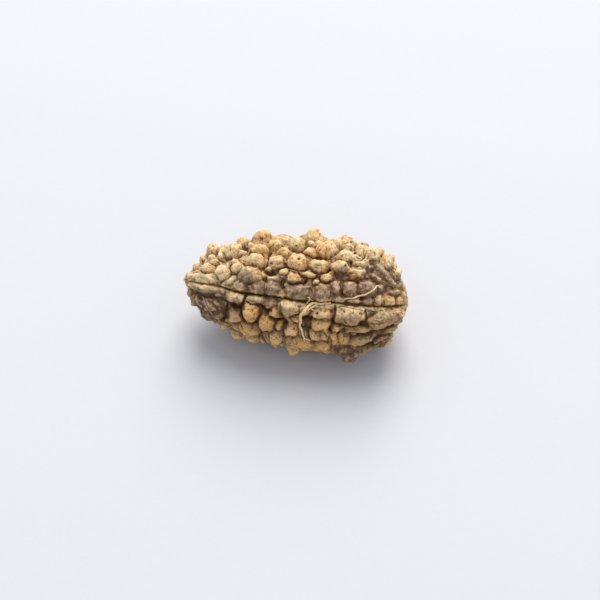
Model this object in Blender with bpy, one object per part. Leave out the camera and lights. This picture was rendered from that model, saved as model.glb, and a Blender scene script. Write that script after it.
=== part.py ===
"""A rudraksha seed: the woody stone of the fruit, and the dried fibres that still cling to it.

The stone grew as one piece. It is a drop-shaped body, pointed at -X and blunt at +X, covered in knobs,
with a groove between raised lips along each of its two faces. It lies on a small flat spot, whose middle
is the origin.

The shape is worked out in millimetres and scaled to metres as each object is made. On the near face,
"along" is measured from the pointed tip, and "across" upwards from the line that joins the two ends.
The lists give places as they look to an eye in front of the face, and from_seen() turns them into
places on the body.
"""

import math
import random
from collections import namedtuple

import bmesh
import bpy
import numpy as np
from mathutils import Vector, noise
from mathutils.bvhtree import BVHTree

MM = 0.001

# The stone, in millimetres.
LENGTH = 30.0
AXIS_HEIGHT = 7.75  # of the line that joins the ends, above what the stone lies on
FACE_TILT = 50.0  # degrees: the near face looks forwards and this far up
SAG = -0.45  # how far the middle of the body lies below that line, across the near face
SAG_START = 4.0  # how soon after the tip it does so
PROUD = 0.52  # a knob's height over the body, as a share of its width
KNOB_LIFT = 0.1  # added to that height
LUMP_DEPTH = 0.13  # of a knob's lumps, as a share of its size
LUMP_SCALE = 1.3
FULLNESS = 0.58  # a knob's half length over the length that it shows
POINT = 0.15  # how far each knob is drawn to a point, as a share of its height
MOST_LIFT = 0.5  # of a knob past the body's outline, as a share of its width
SEED = 11
MOST_SIDEWAYS = 0.985  # how near to its edge, as a share of the radius, a face holds knobs

# The body under the knobs: (along, radius).
BODY = (
    (0.0, 0.35), (1.0, 1.3), (2.0, 2.35), (3.0, 3.3), (4.0, 4.1), (6.0, 5.1), (8.0, 5.9), (10.0, 6.3),
    (12.0, 6.55), (14.0, 6.8), (16.0, 6.95), (20.0, 6.95), (22.0, 6.85), (24.0, 6.5), (26.0, 5.85),
    (27.0, 5.3), (28.0, 4.4), (28.8, 3.4), (29.4, 2.5), (29.8, 1.6), (30.05, 0.5),
)

# How far the body lies back between the knobs.
RECESS = ((0.0, 0.0), (8.0, 0.05), (12.0, 0.25), (21.0, 0.25), (25.0, 0.12), (30.0, 0.0))

# The eye in front of the near face: how far off it is, and how far to the right of and below straight
# ahead it is, for each millimetre forwards.
EYE_DISTANCE = 188.0
EYE_RIGHT = 0.08
EYE_BELOW = 0.03
SEEN_OFFSET = 0.15

# The groove: (along, across), and how wide and deep it is.
NEAR_SEAM = (
    (0.0, -0.1), (1.5, -0.25), (3.0, -0.3), (4.4, -0.3), (5.0, -0.45), (6.0, -0.75), (7.0, -1.0),
    (9.0, -1.0), (10.0, -1.1), (13.0, -1.1), (14.5, -1.3), (16.0, -1.45), (18.0, -1.3), (20.0, -1.1),
    (23.0, -1.15), (25.0, -1.2), (27.0, -1.05), (28.5, -0.9), (30.0, -0.6),
)
FAR_SEAM = ((0.0, 0.0), (8.0, 0.5), (16.0, -0.3), (23.0, 0.4), (30.0, 0.2))
GROOVE_WIDTH = 0.28
GROOVE_DEPTH = 0.55

# Dark hollows between the knobs: (along, across, radius, depth).
HOLLOWS = (
    (8.0, -3.0, 0.7, 0.7), (13.8, -4.3, 0.7, 0.8), (17.0, -4.6, 0.8, 0.9), (20.3, -3.1, 0.4, 0.7),
    (24.6, -3.6, 0.6, 0.8), (21.3, 2.2, 0.8, 0.5), (11.2, 1.7, 0.6, 0.5), (27.0, -5.4, 0.8, 0.6),
)

# The knobs of the near face, as (along, across, length, width, turn in degrees, point).
# Turn swings the long way from along the stone towards across it. Point draws the top out.
Knob = namedtuple("Knob", "along across length width turn point", defaults=(0.0, 0.0))

UPPER_LEFT = (
    (2.35, 0.5, 4.9, 1.5, -7.0), (0.45, -0.05, 1.2, 0.7), (1.7, 1.9, 1.1, 0.9), (2.6, 3.1, 1.3, 1.2),
    (3.1, 1.8, 1.6, 1.3), (4.0, 2.8, 1.8, 0.7), (3.8, 4.4, 1.6, 1.8), (4.8, 3.6, 1.3, 1.2),
    (5.1, 1.4, 1.9, 2.0), (6.3, 4.6, 2.4, 1.8), (7.5, 5.6, 1.4, 1.6), (7.6, 4.3, 1.2, 0.6),
    (7.2, 2.9, 1.2, 0.8), (7.1, 2.2, 1.6, 1.4), (6.4, 3.0, 0.8, 0.8), (6.1, 0.5, 2.0, 1.0, 25.0),
)
UPPER_MIDDLE = (
    (8.8, 1.6, 2.6, 2.1), (9.3, 3.5, 2.2, 1.9), (9.8, 5.0, 2.2, 1.5), (10.2, 6.5, 2.6, 2.1, 0.0, 0.2),
    (11.8, 5.7, 1.9, 1.5), (12.1, 3.6, 2.3, 1.7), (11.1, 2.7, 0.9, 0.9), (13.2, 4.9, 2.0, 1.3),
    (13.3, 6.4, 1.0, 1.1), (14.7, 6.2, 1.8, 1.8), (15.0, 3.8, 2.3, 2.4), (16.4, 5.2, 1.7, 1.4),
    (17.6, 3.6, 2.4, 1.7), (16.8, 7.0, 2.6, 1.8, 0.0, 0.6), (18.7, 5.8, 2.5, 2.4),
    (20.3, 6.6, 1.4, 1.2), (18.9, 2.1, 1.4, 1.1), (14.6, 1.6, 1.8, 1.5), (13.2, 2.2, 1.3, 1.2),
    (16.2, 2.3, 2.1, 0.8), (17.6, 1.3, 0.8, 0.8),
)
UPPER_RIGHT = (
    (21.4, 5.2, 3.4, 1.4, -12.0), (20.6, 3.8, 2.0, 1.4), (23.2, 4.4, 2.2, 0.8), (22.9, 3.1, 2.3, 1.5),
    (21.5, 6.3, 1.1, 1.0), (23.0, 6.0, 1.3, 1.7), (24.6, 5.7, 1.7, 1.8), (21.9, 6.8, 1.5, 0.8),
    (25.4, 6.1, 1.1, 1.2), (26.6, 5.0, 1.5, 2.2), (27.8, 3.5, 1.2, 1.8), (26.0, 3.8, 1.9, 0.8, -45.0),
    (26.8, 3.0, 2.0, 0.8, -45.0), (25.4, 2.6, 1.6, 0.8, -30.0), (27.4, 2.2, 1.8, 0.8, -45.0),
    (28.2, 2.6, 1.6, 0.8, -50.0), (28.8, 1.6, 1.6, 0.9, -60.0), (28.0, 1.0, 1.8, 0.7, 10.0),
    (28.9, 0.8, 1.2, 0.9, -70.0),
)
ABOVE_SEAM = (
    (7.6, 0.0, 1.7, 1.2), (9.9, -0.1, 2.2, 1.5), (11.9, 0.0, 2.0, 1.7), (12.0, 1.3, 1.5, 0.8),
    (14.1, 0.5, 1.3, 1.1), (15.4, 0.0, 3.4, 1.7), (13.3, -0.4, 1.8, 1.0), (17.1, -0.2, 1.6, 1.4),
    (18.7, 0.0, 2.3, 2.1), (20.3, 0.8, 1.6, 1.7), (22.1, 0.9, 2.1, 1.8), (24.3, 1.2, 2.3, 1.8),
    (20.6, -0.5, 1.7, 1.0), (22.8, -0.6, 1.5, 0.8), (24.6, -0.45, 1.3, 0.9), (25.9, -0.25, 1.2, 1.2),
    (27.3, -0.3, 1.6, 1.2), (28.6, -0.2, 1.2, 1.0), (14.7, -1.0, 3.4, 0.3),
)
LOWER_LIP = (
    (2.9, -0.85, 5.2, 1.1, -2.0), (7.1, -1.8, 2.4, 1.4), (10.0, -1.75, 2.8, 0.9), (9.3, -3.6, 2.0, 2.6),
    (11.8, -2.2, 1.8, 1.2), (12.5, -3.2, 1.3, 1.7), (14.4, -2.4, 2.8, 2.0), (15.4, -3.8, 1.2, 0.9),
    (16.2, -2.4, 1.6, 1.4), (18.7, -2.9, 2.3, 1.5), (18.7, -4.4, 2.3, 1.8), (22.5, -2.8, 3.7, 2.3),
    (27.3, -2.75, 4.9, 2.1), (18.6, -1.9, 2.8, 0.6), (21.0, -1.45, 3.6, 0.5), (24.0, -1.5, 3.4, 0.5),
    (26.8, -1.4, 3.4, 0.5), (28.8, -1.1, 1.8, 0.5, 8.0),
)
LOWER_SIDE = (
    (1.2, -1.8, 1.0, 1.4), (2.0, -2.9, 1.5, 1.6), (4.3, -3.2, 2.6, 1.9), (3.8, -4.6, 2.2, 1.6),
    (5.3, -4.2, 1.4, 1.5), (7.2, -4.3, 1.8, 1.8), (6.2, -5.5, 1.6, 1.4), (9.2, -6.0, 3.2, 1.8),
    (11.5, -4.9, 2.2, 2.2), (13.1, -5.1, 1.2, 1.3), (12.9, -6.7, 2.2, 1.9), (14.9, -5.5, 2.0, 1.8),
    (10.0, -7.0, 1.8, 1.2), (8.0, -6.5, 1.5, 1.4, 0.0, 0.5), (11.6, -7.1, 1.2, 1.2),
    (16.2, -7.1, 3.6, 1.8), (15.4, -7.7, 1.7, 1.6, 0.0, 0.5), (18.1, -5.9, 1.6, 1.5),
    (19.4, -5.7, 1.3, 1.3), (19.3, -7.0, 2.0, 1.5), (20.8, -4.6, 1.4, 0.9), (20.6, -6.0, 1.3, 1.6),
    (21.9, -5.8, 1.3, 1.6), (19.9, -7.6, 1.6, 1.0), (17.2, -7.6, 1.6, 0.9), (23.6, -4.6, 3.0, 1.0, 5.0),
    (24.0, -5.9, 3.6, 1.2, 10.0), (27.2, -4.8, 2.6, 1.0, 25.0), (26.8, -6.2, 2.2, 1.0, 35.0),
    (24.4, -7.3, 2.4, 0.8, 15.0), (25.8, -7.3, 2.0, 0.7, 30.0), (22.7, -7.6, 3.0, 2.2, 0.0, 0.6),
    (21.2, -7.6, 2.0, 1.2), (28.2, -3.8, 1.5, 0.9, 50.0), (27.6, -4.9, 1.4, 0.9, 45.0),
)
NEAR_FACE = UPPER_LEFT + UPPER_MIDDLE + UPPER_RIGHT + ABOVE_SEAM + LOWER_LIP + LOWER_SIDE

# The round the stone lies on: a broad low knob that has been worn flat.
REST = Knob(15.3, 0.0, 4.6, 3.6)
REST_ANGLE = -(90.0 + FACE_TILT)  # straight down, in degrees from the near face's outward way

# Knobs sown where the near face's list doesn't reach: (width, how many times to try).
SOWN = ((2.3, 500), (1.8, 900), (1.4, 1500), (1.0, 2200))
SOWN_SPACING = 0.43  # of the two widths together
SOWN_TO = 27.8  # none nearer the blunt end
IN_VIEW_SPACING = 0.52
IN_VIEW_FROM, IN_VIEW_TO = 2.0, 26.5
IN_VIEW_WIDTH = 1.2  # the widest knob sown between the listed ones
IN_VIEW_ANGLE = 97.0
UNDERSIDE_WIDTH = 1.6  # the widest knob sown underneath, so that the rest is the lowest
UNDERSIDE_ANGLE = 28.0
LIP_STEP = (1.6, 3.0)  # the far seam's lips are a row of ridges this long

# Skin: fine enough to keep the creases, then thinned.
VOXEL = 0.30
SKIN_TRIANGLES = 9000

# Fibres as (along, across) on the near face, and their thickness. They lie FIBRE_GAP off the stone.
FIBRE_GAP = 0.32
FIBRES = {
    "fibre_straight": (0.22, (
        (21.4, -0.55), (22.0, -0.35), (22.6, -0.25), (23.1, 0.05), (23.6, 0.1), (24.3, 0.45), (25.0, 0.95),
        (25.3, 1.35), (25.6, 1.65), (25.9, 1.6), (26.1, 1.4),
    )),
    "fibre_curved": (0.34, (
        (19.8, -1.35), (18.6, -1.35), (17.6, -1.5), (16.9, -1.9), (16.35, -2.45), (15.95, -3.1),
        (15.8, -3.8),
        (15.85, -4.5), (16.05, -5.15), (16.4, -5.75), (16.8, -6.25), (17.3, -6.6),
    )),
    "fibre_hook": (0.22, ((16.5, -1.7), (16.8, -1.3), (17.05, -0.85), (16.9, -0.55), (16.6, -0.6))),
}


def along_table(table, along):
    """The value at a station, on a curve that runs smoothly through the table's points."""
    stations = [row[0] for row in table]
    values = [row[1] for row in table]
    spread = (-0.6, -0.3, 0.0, 0.3, 0.6)
    return sum(np.interp(along + step, stations, values) for step in spread) / len(spread)


def body_radius(along):
    """The body's radius, rounded off to nothing at both ends."""
    inside = min(along - BODY[0][0], BODY[-1][0] - along)
    return along_table(BODY, along) * min(1.0, math.sqrt(max(inside, 0.0) / 0.35))


FACE_OUT = Vector((0.0, -math.cos(math.radians(FACE_TILT)), math.sin(math.radians(FACE_TILT))))
FACE_UP = Vector((0.0, math.sin(math.radians(FACE_TILT)), math.cos(math.radians(FACE_TILT))))


def sag_at(along):
    """How far the middle of the section lies from the line that joins the ends, across the near face."""
    return SAG * (1 - math.exp(-max(along, 0.0) / SAG_START))


def centre_at(along):
    """The middle of the body's section."""
    return Vector((along - LENGTH / 2, 0.0, AXIS_HEIGHT)) + FACE_UP * sag_at(along)


def outward(angle):
    """Away from the body's middle, at an angle from the near face's outward way. It turns upwards."""
    return FACE_OUT * math.cos(angle) + FACE_UP * math.sin(angle)


def angle_on_face(along, across, reach):
    """The angle round the body of a place this far out, and how much further out it must be."""
    from_centre = across - sag_at(along)
    limit = MOST_SIDEWAYS * reach
    lift = max(0.0, abs(from_centre) - limit)
    return math.asin(max(-limit, min(limit, from_centre)) / reach), lift


def eye_shift(along, across):
    """How far along and across a place seems to move for each millimetre that it stands forwards."""
    right = EYE_RIGHT - (along - LENGTH / 2) / EYE_DISTANCE
    below = EYE_BELOW + across / EYE_DISTANCE
    return right, -below


def from_seen(along, across):
    """Where a place on the body is, from where the eye sees it."""
    depth = math.sqrt(max(body_radius(along) ** 2 - (across - sag_at(along)) ** 2, 0.0))
    right, up = eye_shift(along, across)
    return along + SEEN_OFFSET + depth * right, across + depth * up


def to_seen(along, across, depth):
    """Where the eye sees a place that is this far forwards of the middle line."""
    right, up = eye_shift(along, across)
    return along - SEEN_OFFSET - depth * right, across - depth * up


def surface_frame(along, angle):
    """A point on the body, and the ways along it, round it and out of it."""
    step = 0.25
    steepest = 0.6
    here = centre_at(along) + outward(angle) * body_radius(along)
    slope = min((body_radius(along + step) - body_radius(along - step)) / (2 * step), steepest)
    out = (outward(angle) - Vector((1.0, 0.0, 0.0)) * slope).normalized()
    around = (FACE_UP * math.cos(angle) - FACE_OUT * math.sin(angle)).normalized()
    return here, around.cross(out).normalized(), around, out


def add_body(mesh):
    """The drop-shaped body, ring by ring, with its lumps."""
    rings, steps = 60, 72
    lump_depth, lump_scale = 0.18, 0.45
    grid = []
    first, last = BODY[0][0], BODY[-1][0]
    for i in range(1, rings):
        along = first + (last - first) * (1 - math.cos(math.pi * i / rings)) / 2
        ring = []
        for k in range(steps):
            way = outward(2 * math.pi * k / steps)
            reach = body_radius(along) - along_table(RECESS, along)
            lump = lump_depth * noise.noise((way * reach + Vector((along, 0, 0))) * lump_scale)
            ring.append(mesh.verts.new(centre_at(along) + way * (reach + lump)))
        grid.append(ring)
    for a, b in zip(grid, grid[1:]):
        for k in range(steps):
            mesh.faces.new((a[k], a[(k + 1) % steps], b[(k + 1) % steps], b[k]))
    for ring, along in ((grid[0], first), (grid[-1], last)):
        tip = mesh.verts.new(centre_at(along))
        for k in range(steps):
            mesh.faces.new((tip, ring[k], ring[(k + 1) % steps]))


def add_knob(mesh, knob, angle, lift, number):
    """A lumpy rounded knob, half sunk in the body."""
    here, ahead, around, out = surface_frame(knob.along, angle)
    here = here + out * lift
    turn = math.radians(knob.turn)
    long_way = ahead * math.cos(turn) + around * math.sin(turn)
    wide_way = around * math.cos(turn) - ahead * math.sin(turn)
    height = PROUD * knob.width + KNOB_LIFT
    made = bmesh.ops.create_icosphere(mesh, subdivisions=3, radius=1.0)
    for vert in made["verts"]:
        way = vert.co.copy()
        lump = 1.0 + LUMP_DEPTH * noise.noise(way * LUMP_SCALE + Vector((number * 7.3, 0, 0)))
        top = max(way.z, 0.0)
        vert.co = (
            here
            + long_way * (way.x * lump * knob.length * FULLNESS)
            + wide_way * (way.y * lump * knob.width * FULLNESS)
            + out * (way.z * lump * height * (1.0 + (knob.point + POINT) * top**3))
        )


def near_knobs():
    """Each listed knob, with its angle around the body and how far it is lifted off it."""
    for row in NEAR_FACE:
        along, across = from_seen(row[0], row[1])
        knob = Knob(along, across, *row[2:])
        reach = body_radius(along) + 0.5 * PROUD * knob.width
        angle, lift = angle_on_face(along, across, reach)
        yield knob, angle, min(lift, MOST_LIFT * knob.width)


def far_lips(rng):
    """The ridges on both sides of the far seam."""
    for side in (-1, 1):
        along = 1.6
        while along < LENGTH - 2.0:
            length = rng.uniform(*LIP_STEP) * min(1.0, 0.35 + body_radius(along) / 7.0)
            width = rng.uniform(1.1, 1.7) * min(1.0, 0.35 + body_radius(along) / 7.0)
            middle = along + length / 2
            across = along_table(FAR_SEAM, middle) + side * (0.35 + width / 2)
            angle = math.pi - angle_on_face(middle, across, body_radius(middle) + 0.3)[0]
            yield Knob(middle, across, length, width, rng.uniform(-8, 8)), angle, 0.0
            along += length * 0.9


def sown_knobs(rng, taken):
    """Knobs sown at random, the wide ones first, wherever there is room between those already there."""
    places = [surface_frame(knob.along, angle)[0] for knob, angle, _ in taken]
    widths = [(knob.width + knob.length) / 2 for knob, _, _ in taken]
    for width, tries in SOWN:
        for _ in range(tries):
            along = rng.uniform(1.0, SOWN_TO)
            angle = rng.uniform(-math.pi, math.pi)
            size = width * rng.uniform(0.85, 1.1)
            in_view = abs(math.degrees(angle)) < IN_VIEW_ANGLE
            if near_a_seam(along, angle) or size > widest_sown(along, angle):
                continue
            if in_view and not IN_VIEW_FROM < along < IN_VIEW_TO:
                continue
            here = surface_frame(along, angle)[0]
            gaps = np.linalg.norm(np.array(places) - np.array(here), axis=1)
            spacing = IN_VIEW_SPACING if in_view else SOWN_SPACING
            if (gaps < spacing * (np.array(widths) + size)).any():
                continue
            places.append(here)
            widths.append(size)
            yield Knob(along, 0.0, size * rng.uniform(1.0, 1.35), size, rng.uniform(-90, 90)), angle, 0.0


def widest_sown(along, angle):
    """Small on the near face and by the tip, not wide underneath, and any width elsewhere."""
    if abs(math.degrees(angle)) < IN_VIEW_ANGLE:
        return IN_VIEW_WIDTH
    if abs(math.degrees(angle) - REST_ANGLE) < UNDERSIDE_ANGLE:
        return UNDERSIDE_WIDTH
    return 0.6 + body_radius(along) / 3.5


def near_a_seam(along, angle):
    """True in the strips that the two grooves run through."""
    across = body_radius(along) * math.sin(angle) + sag_at(along)
    table = NEAR_SEAM if math.cos(angle) > 0 else FAR_SEAM
    return abs(across - along_table(table, along)) < 0.8


def carve(points):
    """Sinks the grooves and the hollows into the skin."""
    for i, co in enumerate(points):
        along = co[0] + LENGTH / 2
        off = Vector(co) - centre_at(along)
        off.x = 0.0
        across = off.dot(FACE_UP) + sag_at(along)
        depth = off.dot(FACE_OUT)
        near = depth > 0
        if near:
            along, across = to_seen(along, across, depth)
        seam = along_table(NEAR_SEAM if near else FAR_SEAM, along)
        share = min(1.0, off.length / 3.0)
        sink = GROOVE_DEPTH * share * math.exp(-(((across - seam) / GROOVE_WIDTH) ** 2))
        if near:
            for at, up, radius, depth in HOLLOWS:
                apart = ((along - at) ** 2 + (across - up) ** 2) / radius**2
                sink += depth * math.exp(-apart) if apart < 6 else 0.0
        if off.length > 0.5:
            points[i] = np.array(co) - np.array(off.normalized()) * min(sink, 1.4)


def evaluated_mesh(obj):
    """A plain mesh of the object with its modifiers applied."""
    graph = bpy.context.evaluated_depsgraph_get()
    return bpy.data.meshes.new_from_object(obj.evaluated_get(graph))


def keep_outer_skin(mesh):
    """Drops the small closed skins that a remesh leaves inside."""
    work = bmesh.new()
    work.from_mesh(mesh)
    left, islands = set(work.verts), []
    while left:
        island, edge = set(), [left.pop()]
        while edge:
            vert = edge.pop()
            island.add(vert)
            for other in (e.other_vert(vert) for e in vert.link_edges):
                if other in left:
                    left.discard(other)
                    edge.append(other)
        islands.append(island)
    outer = max(islands, key=len)
    stray = [v for island in islands if island is not outer for v in island]
    bmesh.ops.delete(work, geom=stray, context="VERTS")
    work.to_mesh(mesh)
    work.free()


def make_skin():
    """The body and all its knobs as one skin, in millimetres."""
    rng = random.Random(SEED)
    work = bmesh.new()
    add_body(work)
    placed = list(near_knobs())
    placed += [(REST, math.radians(REST_ANGLE), 0.0)]
    placed += list(far_lips(rng))
    placed += list(sown_knobs(rng, placed))
    for number, (knob, angle, lift) in enumerate(placed):
        add_knob(work, knob, angle, lift, number)
    bmesh.ops.recalc_face_normals(work, faces=work.faces)
    mesh = bpy.data.meshes.new("rough_skin")
    work.to_mesh(mesh)
    work.free()
    rough = bpy.data.objects.new("rough_skin", mesh)
    bpy.context.scene.collection.objects.link(rough)
    remesh = rough.modifiers.new("one_skin", "REMESH")
    remesh.mode = "VOXEL"
    remesh.voxel_size = VOXEL
    skin = evaluated_mesh(rough)
    bpy.data.objects.remove(rough)
    keep_outer_skin(skin)
    return skin


def make_stone():
    """The stone in metres, thinned and worn flat where it lies."""
    skin = make_skin()
    points = np.empty(len(skin.vertices) * 3)
    skin.vertices.foreach_get("co", points)
    points = points.reshape(-1, 3)
    carve(points)
    skin.vertices.foreach_set("co", (points * MM).ravel())
    skin.name = "rudraksha_seed"
    stone = bpy.data.objects.new("rudraksha_seed", skin)
    bpy.context.scene.collection.objects.link(stone)
    thin = stone.modifiers.new("thin", "DECIMATE")
    thin.ratio = SKIN_TRIANGLES / (2 * len(skin.polygons))
    thin.use_collapse_triangulate = True
    worn = stone.modifiers.new("worn_flat", "BOOLEAN")
    worn.operation = "DIFFERENCE"
    worn.solver = "EXACT"
    worn.object = make_ground()
    skin.shade_smooth()
    return stone


def make_ground():
    """The block that wears the underside flat."""
    deep = 4.0 * MM
    work = bmesh.new()
    bmesh.ops.create_cube(work, size=1.0)
    bmesh.ops.scale(work, vec=(2 * LENGTH * MM, 2 * LENGTH * MM, deep), verts=work.verts)
    bmesh.ops.translate(work, vec=(0, 0, -deep / 2), verts=work.verts)
    mesh = bpy.data.meshes.new("ground_cutter")
    work.to_mesh(mesh)
    work.free()
    cutter = bpy.data.objects.new("ground_cutter", mesh)
    cutter.hide_render = True
    cutter.display_type = "WIRE"
    bpy.context.scene.collection.objects.link(cutter)
    return cutter


def route_on(stone_tree, route, clear):
    """A route's points laid on the stone, then eased outwards until each is clear of it."""
    laid = []
    for (a0, c0), (a1, c1) in zip(route, route[1:]):
        for share in (0.0, 0.5):
            along, across = a0 + (a1 - a0) * share, c0 + (c1 - c0) * share
            right, up = eye_shift(along, across)
            to_eye = FACE_OUT + Vector((right, 0, 0)) + FACE_UP * up
            start = Vector((along + SEEN_OFFSET - LENGTH / 2, 0, AXIS_HEIGHT)) + FACE_UP * across
            hit = stone_tree.ray_cast((start + to_eye * LENGTH) * MM, -to_eye)[0]
            laid.append(hit / MM + FACE_OUT * clear)
    for _ in range(12):
        eased = [laid[0]]
        eased += [(a + b * 2 + c) / 4 for a, b, c in zip(laid, laid[1:], laid[2:])]
        eased.append(laid[-1])
        laid = [pushed_clear(stone_tree, point, clear) for point in eased]
    return laid


def pushed_clear(stone_tree, point, clear):
    """The point, moved straight off the stone if it is closer than it may be."""
    for _ in range(6):
        nearest, normal, _, _ = stone_tree.find_nearest(point * MM)
        away = point - nearest / MM
        distance = away.length if away.dot(normal) > 0 else -away.length
        if distance >= clear:
            break
        point = point + (away.normalized() if distance > 0.02 else normal) * (clear - distance)
    return point


def make_fibre(name, thickness, route, stone_tree):
    """A dried strand, as a round tube with closed ends."""
    points = route_on(stone_tree, route, thickness / 2 + FIBRE_GAP)
    curve = bpy.data.curves.new(name, "CURVE")
    curve.dimensions = "3D"
    curve.bevel_depth = thickness / 2 * MM
    curve.bevel_resolution = 2
    curve.use_fill_caps = True
    spline = curve.splines.new("POLY")
    spline.points.add(len(points) - 1)
    for spot, co in zip(spline.points, points):
        spot.co = (*(co * MM), 1.0)
    fibre = bpy.data.objects.new(name, curve)
    bpy.context.scene.collection.objects.link(fibre)
    return fibre


def material(name, colour, roughness):
    made = bpy.data.materials.new(name)
    made.use_nodes = True
    shader = made.node_tree.nodes["Principled BSDF"]
    shader.inputs["Base Color"].default_value = (*colour, 1.0)
    shader.inputs["Roughness"].default_value = roughness
    shader.inputs["Metallic"].default_value = 0.0
    return made


def main():
    for obj in list(bpy.data.objects):
        bpy.data.objects.remove(obj)
    stone = make_stone()
    stone.data.materials.append(material("woody_stone", (0.46, 0.29, 0.13), 0.62))
    bpy.context.view_layer.update()
    skin = evaluated_mesh(stone)
    tree = BVHTree.FromPolygons(
        [v.co for v in skin.vertices], [p.vertices for p in skin.polygons]
    )
    bpy.data.meshes.remove(skin)
    pale = material("dried_fibre", (0.72, 0.56, 0.36), 0.6)
    for name, (thickness, route) in FIBRES.items():
        make_fibre(name, thickness, route, tree).data.materials.append(pale)


main()
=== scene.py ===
# A rudraksha seed lying on a pale table: a knobbly woody stone with dried fibres on it.
# The stone is worked out in millimetres. "along" runs from its pointed tip to its blunt end, and "across"
# runs up over its near face, which looks forwards and up. The lists for the near face give places as an eye
# in front of it sees them, and fromSeen says where they are. Each finished piece is then scaled to metres.
import math
import random

import bmesh
import bpy
import numpy as np
from mathutils import Matrix, Vector, noise
from mathutils.bvhtree import BVHTree
from mathutils.kdtree import KDTree


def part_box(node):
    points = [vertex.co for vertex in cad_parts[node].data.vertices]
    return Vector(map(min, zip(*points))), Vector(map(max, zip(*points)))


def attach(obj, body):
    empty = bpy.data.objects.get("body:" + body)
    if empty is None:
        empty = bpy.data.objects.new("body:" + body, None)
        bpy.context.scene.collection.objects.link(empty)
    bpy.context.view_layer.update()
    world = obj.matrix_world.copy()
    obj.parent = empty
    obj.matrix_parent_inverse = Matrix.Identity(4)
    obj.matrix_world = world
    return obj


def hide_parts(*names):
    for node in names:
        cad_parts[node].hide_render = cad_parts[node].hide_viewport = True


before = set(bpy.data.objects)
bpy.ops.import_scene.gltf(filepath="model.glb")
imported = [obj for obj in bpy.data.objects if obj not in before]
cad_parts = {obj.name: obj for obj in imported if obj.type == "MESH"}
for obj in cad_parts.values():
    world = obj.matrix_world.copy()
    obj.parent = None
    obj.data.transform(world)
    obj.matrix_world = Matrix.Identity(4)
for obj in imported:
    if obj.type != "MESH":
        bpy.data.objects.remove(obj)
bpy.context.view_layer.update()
mm = 0.001


# small helpers

def linear(red, green, blue):
    # a colour as seen on screen, 0 to 255, in the shader's linear values
    def one(value):
        share = value / 255
        return share / 12.92 if share <= 0.04045 else ((share + 0.055) / 1.055) ** 2.4
    return one(red), one(green), one(blue), 1.0


def smooth(low, high, value):
    share = np.clip((value - low) / (high - low), 0, 1)
    return share * share * (3 - 2 * share)


def bell(value, width):
    # 1 at zero, and falling away over the width on both sides
    return np.exp(-((value / width) ** 2))


def addObject(name, data):
    made = bpy.data.objects.new(name, data)
    bpy.context.scene.collection.objects.link(made)
    return made


def evaluatedMesh(obj):
    graph = bpy.context.evaluated_depsgraph_get()
    return bpy.data.meshes.new_from_object(obj.evaluated_get(graph))


def coordsOf(mesh):
    found = np.empty(len(mesh.vertices) * 3, np.float32)
    mesh.vertices.foreach_get("co", found)
    return found.reshape(-1, 3).astype(np.float64)


def normalsOf(mesh):
    found = np.empty(len(mesh.vertices) * 3, np.float32)
    mesh.vertices.foreach_get("normal", found)
    return found.reshape(-1, 3).astype(np.float64)


def edgesOf(mesh):
    found = np.empty(len(mesh.edges) * 2, np.int32)
    mesh.edges.foreach_get("vertices", found)
    return found.reshape(-1, 2)


def setCoords(mesh, coords):
    mesh.vertices.foreach_set("co", coords.astype(np.float32).ravel())
    mesh.update()


def storeValue(mesh, name, values):
    made = mesh.attributes.new(name, "FLOAT", "POINT")
    made.data.foreach_set("value", values.astype(np.float32))


# node trees written as expressions

class Wire:  # one output, so that maths on it adds its own nodes
    def __init__(self, build, socket):
        self.build = build
        self.socket = socket

    def maths(self, operation, *values):
        return self.build.node("ShaderNodeMath", {"operation": operation}, dict(enumerate(values)))

    def __add__(self, other):
        return self.maths("ADD", self, other)

    def __radd__(self, other):
        return self.maths("ADD", other, self)

    def __sub__(self, other):
        return self.maths("SUBTRACT", self, other)

    def __rsub__(self, other):
        return self.maths("SUBTRACT", other, self)

    def __mul__(self, other):
        return self.maths("MULTIPLY", self, other)

    def __rmul__(self, other):
        return self.maths("MULTIPLY", other, self)

    def __pow__(self, other):
        return self.maths("POWER", self, other)

    def absolute(self):
        return self.maths("ABSOLUTE", self)

    def clamped(self):
        return self.build.node("ShaderNodeClamp", {}, {"Value": self})


class Build:  # adds nodes to one tree
    def __init__(self, tree):
        self.tree = tree

    def node(self, kind, settings=None, inputs=None, output=0):
        made = self.tree.nodes.new(kind)
        for name, value in (settings or {}).items():
            setattr(made, name, value)
        for key, value in (inputs or {}).items():
            socket = made.inputs[key]
            if isinstance(value, Wire):
                self.tree.links.new(value.socket, socket)
            else:
                socket.default_value = value
        return Wire(self, made.outputs[output])

    def vectorMaths(self, operation, first, second):
        inputs = {0: first, 1: second}
        if operation == "SCALE":
            inputs = {0: first, "Scale": second}
        return self.node("ShaderNodeVectorMath", {"operation": operation}, inputs)

    def mix(self, share, first, second):
        return self.node("ShaderNodeMix", {"data_type": "RGBA"}, {0: share, 6: first, 7: second}, 2)

    def noise(self, where, scale, detail=3.0, rough=0.55):
        inputs = {"Vector": where, "Scale": scale, "Detail": detail, "Roughness": rough}
        return self.node("ShaderNodeTexNoise", {}, inputs)

    def attribute(self, name):
        return self.node("ShaderNodeAttribute", {"attribute_name": name}, {}, "Fac")

    def between(self, value, low, high):
        # 0 at low and 1 at high, or the other way round, eased at both ends
        inputs = {"Value": value, "From Min": low, "From Max": high}
        return self.node("ShaderNodeMapRange", {"interpolation_type": "SMOOTHSTEP"}, inputs)


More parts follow.
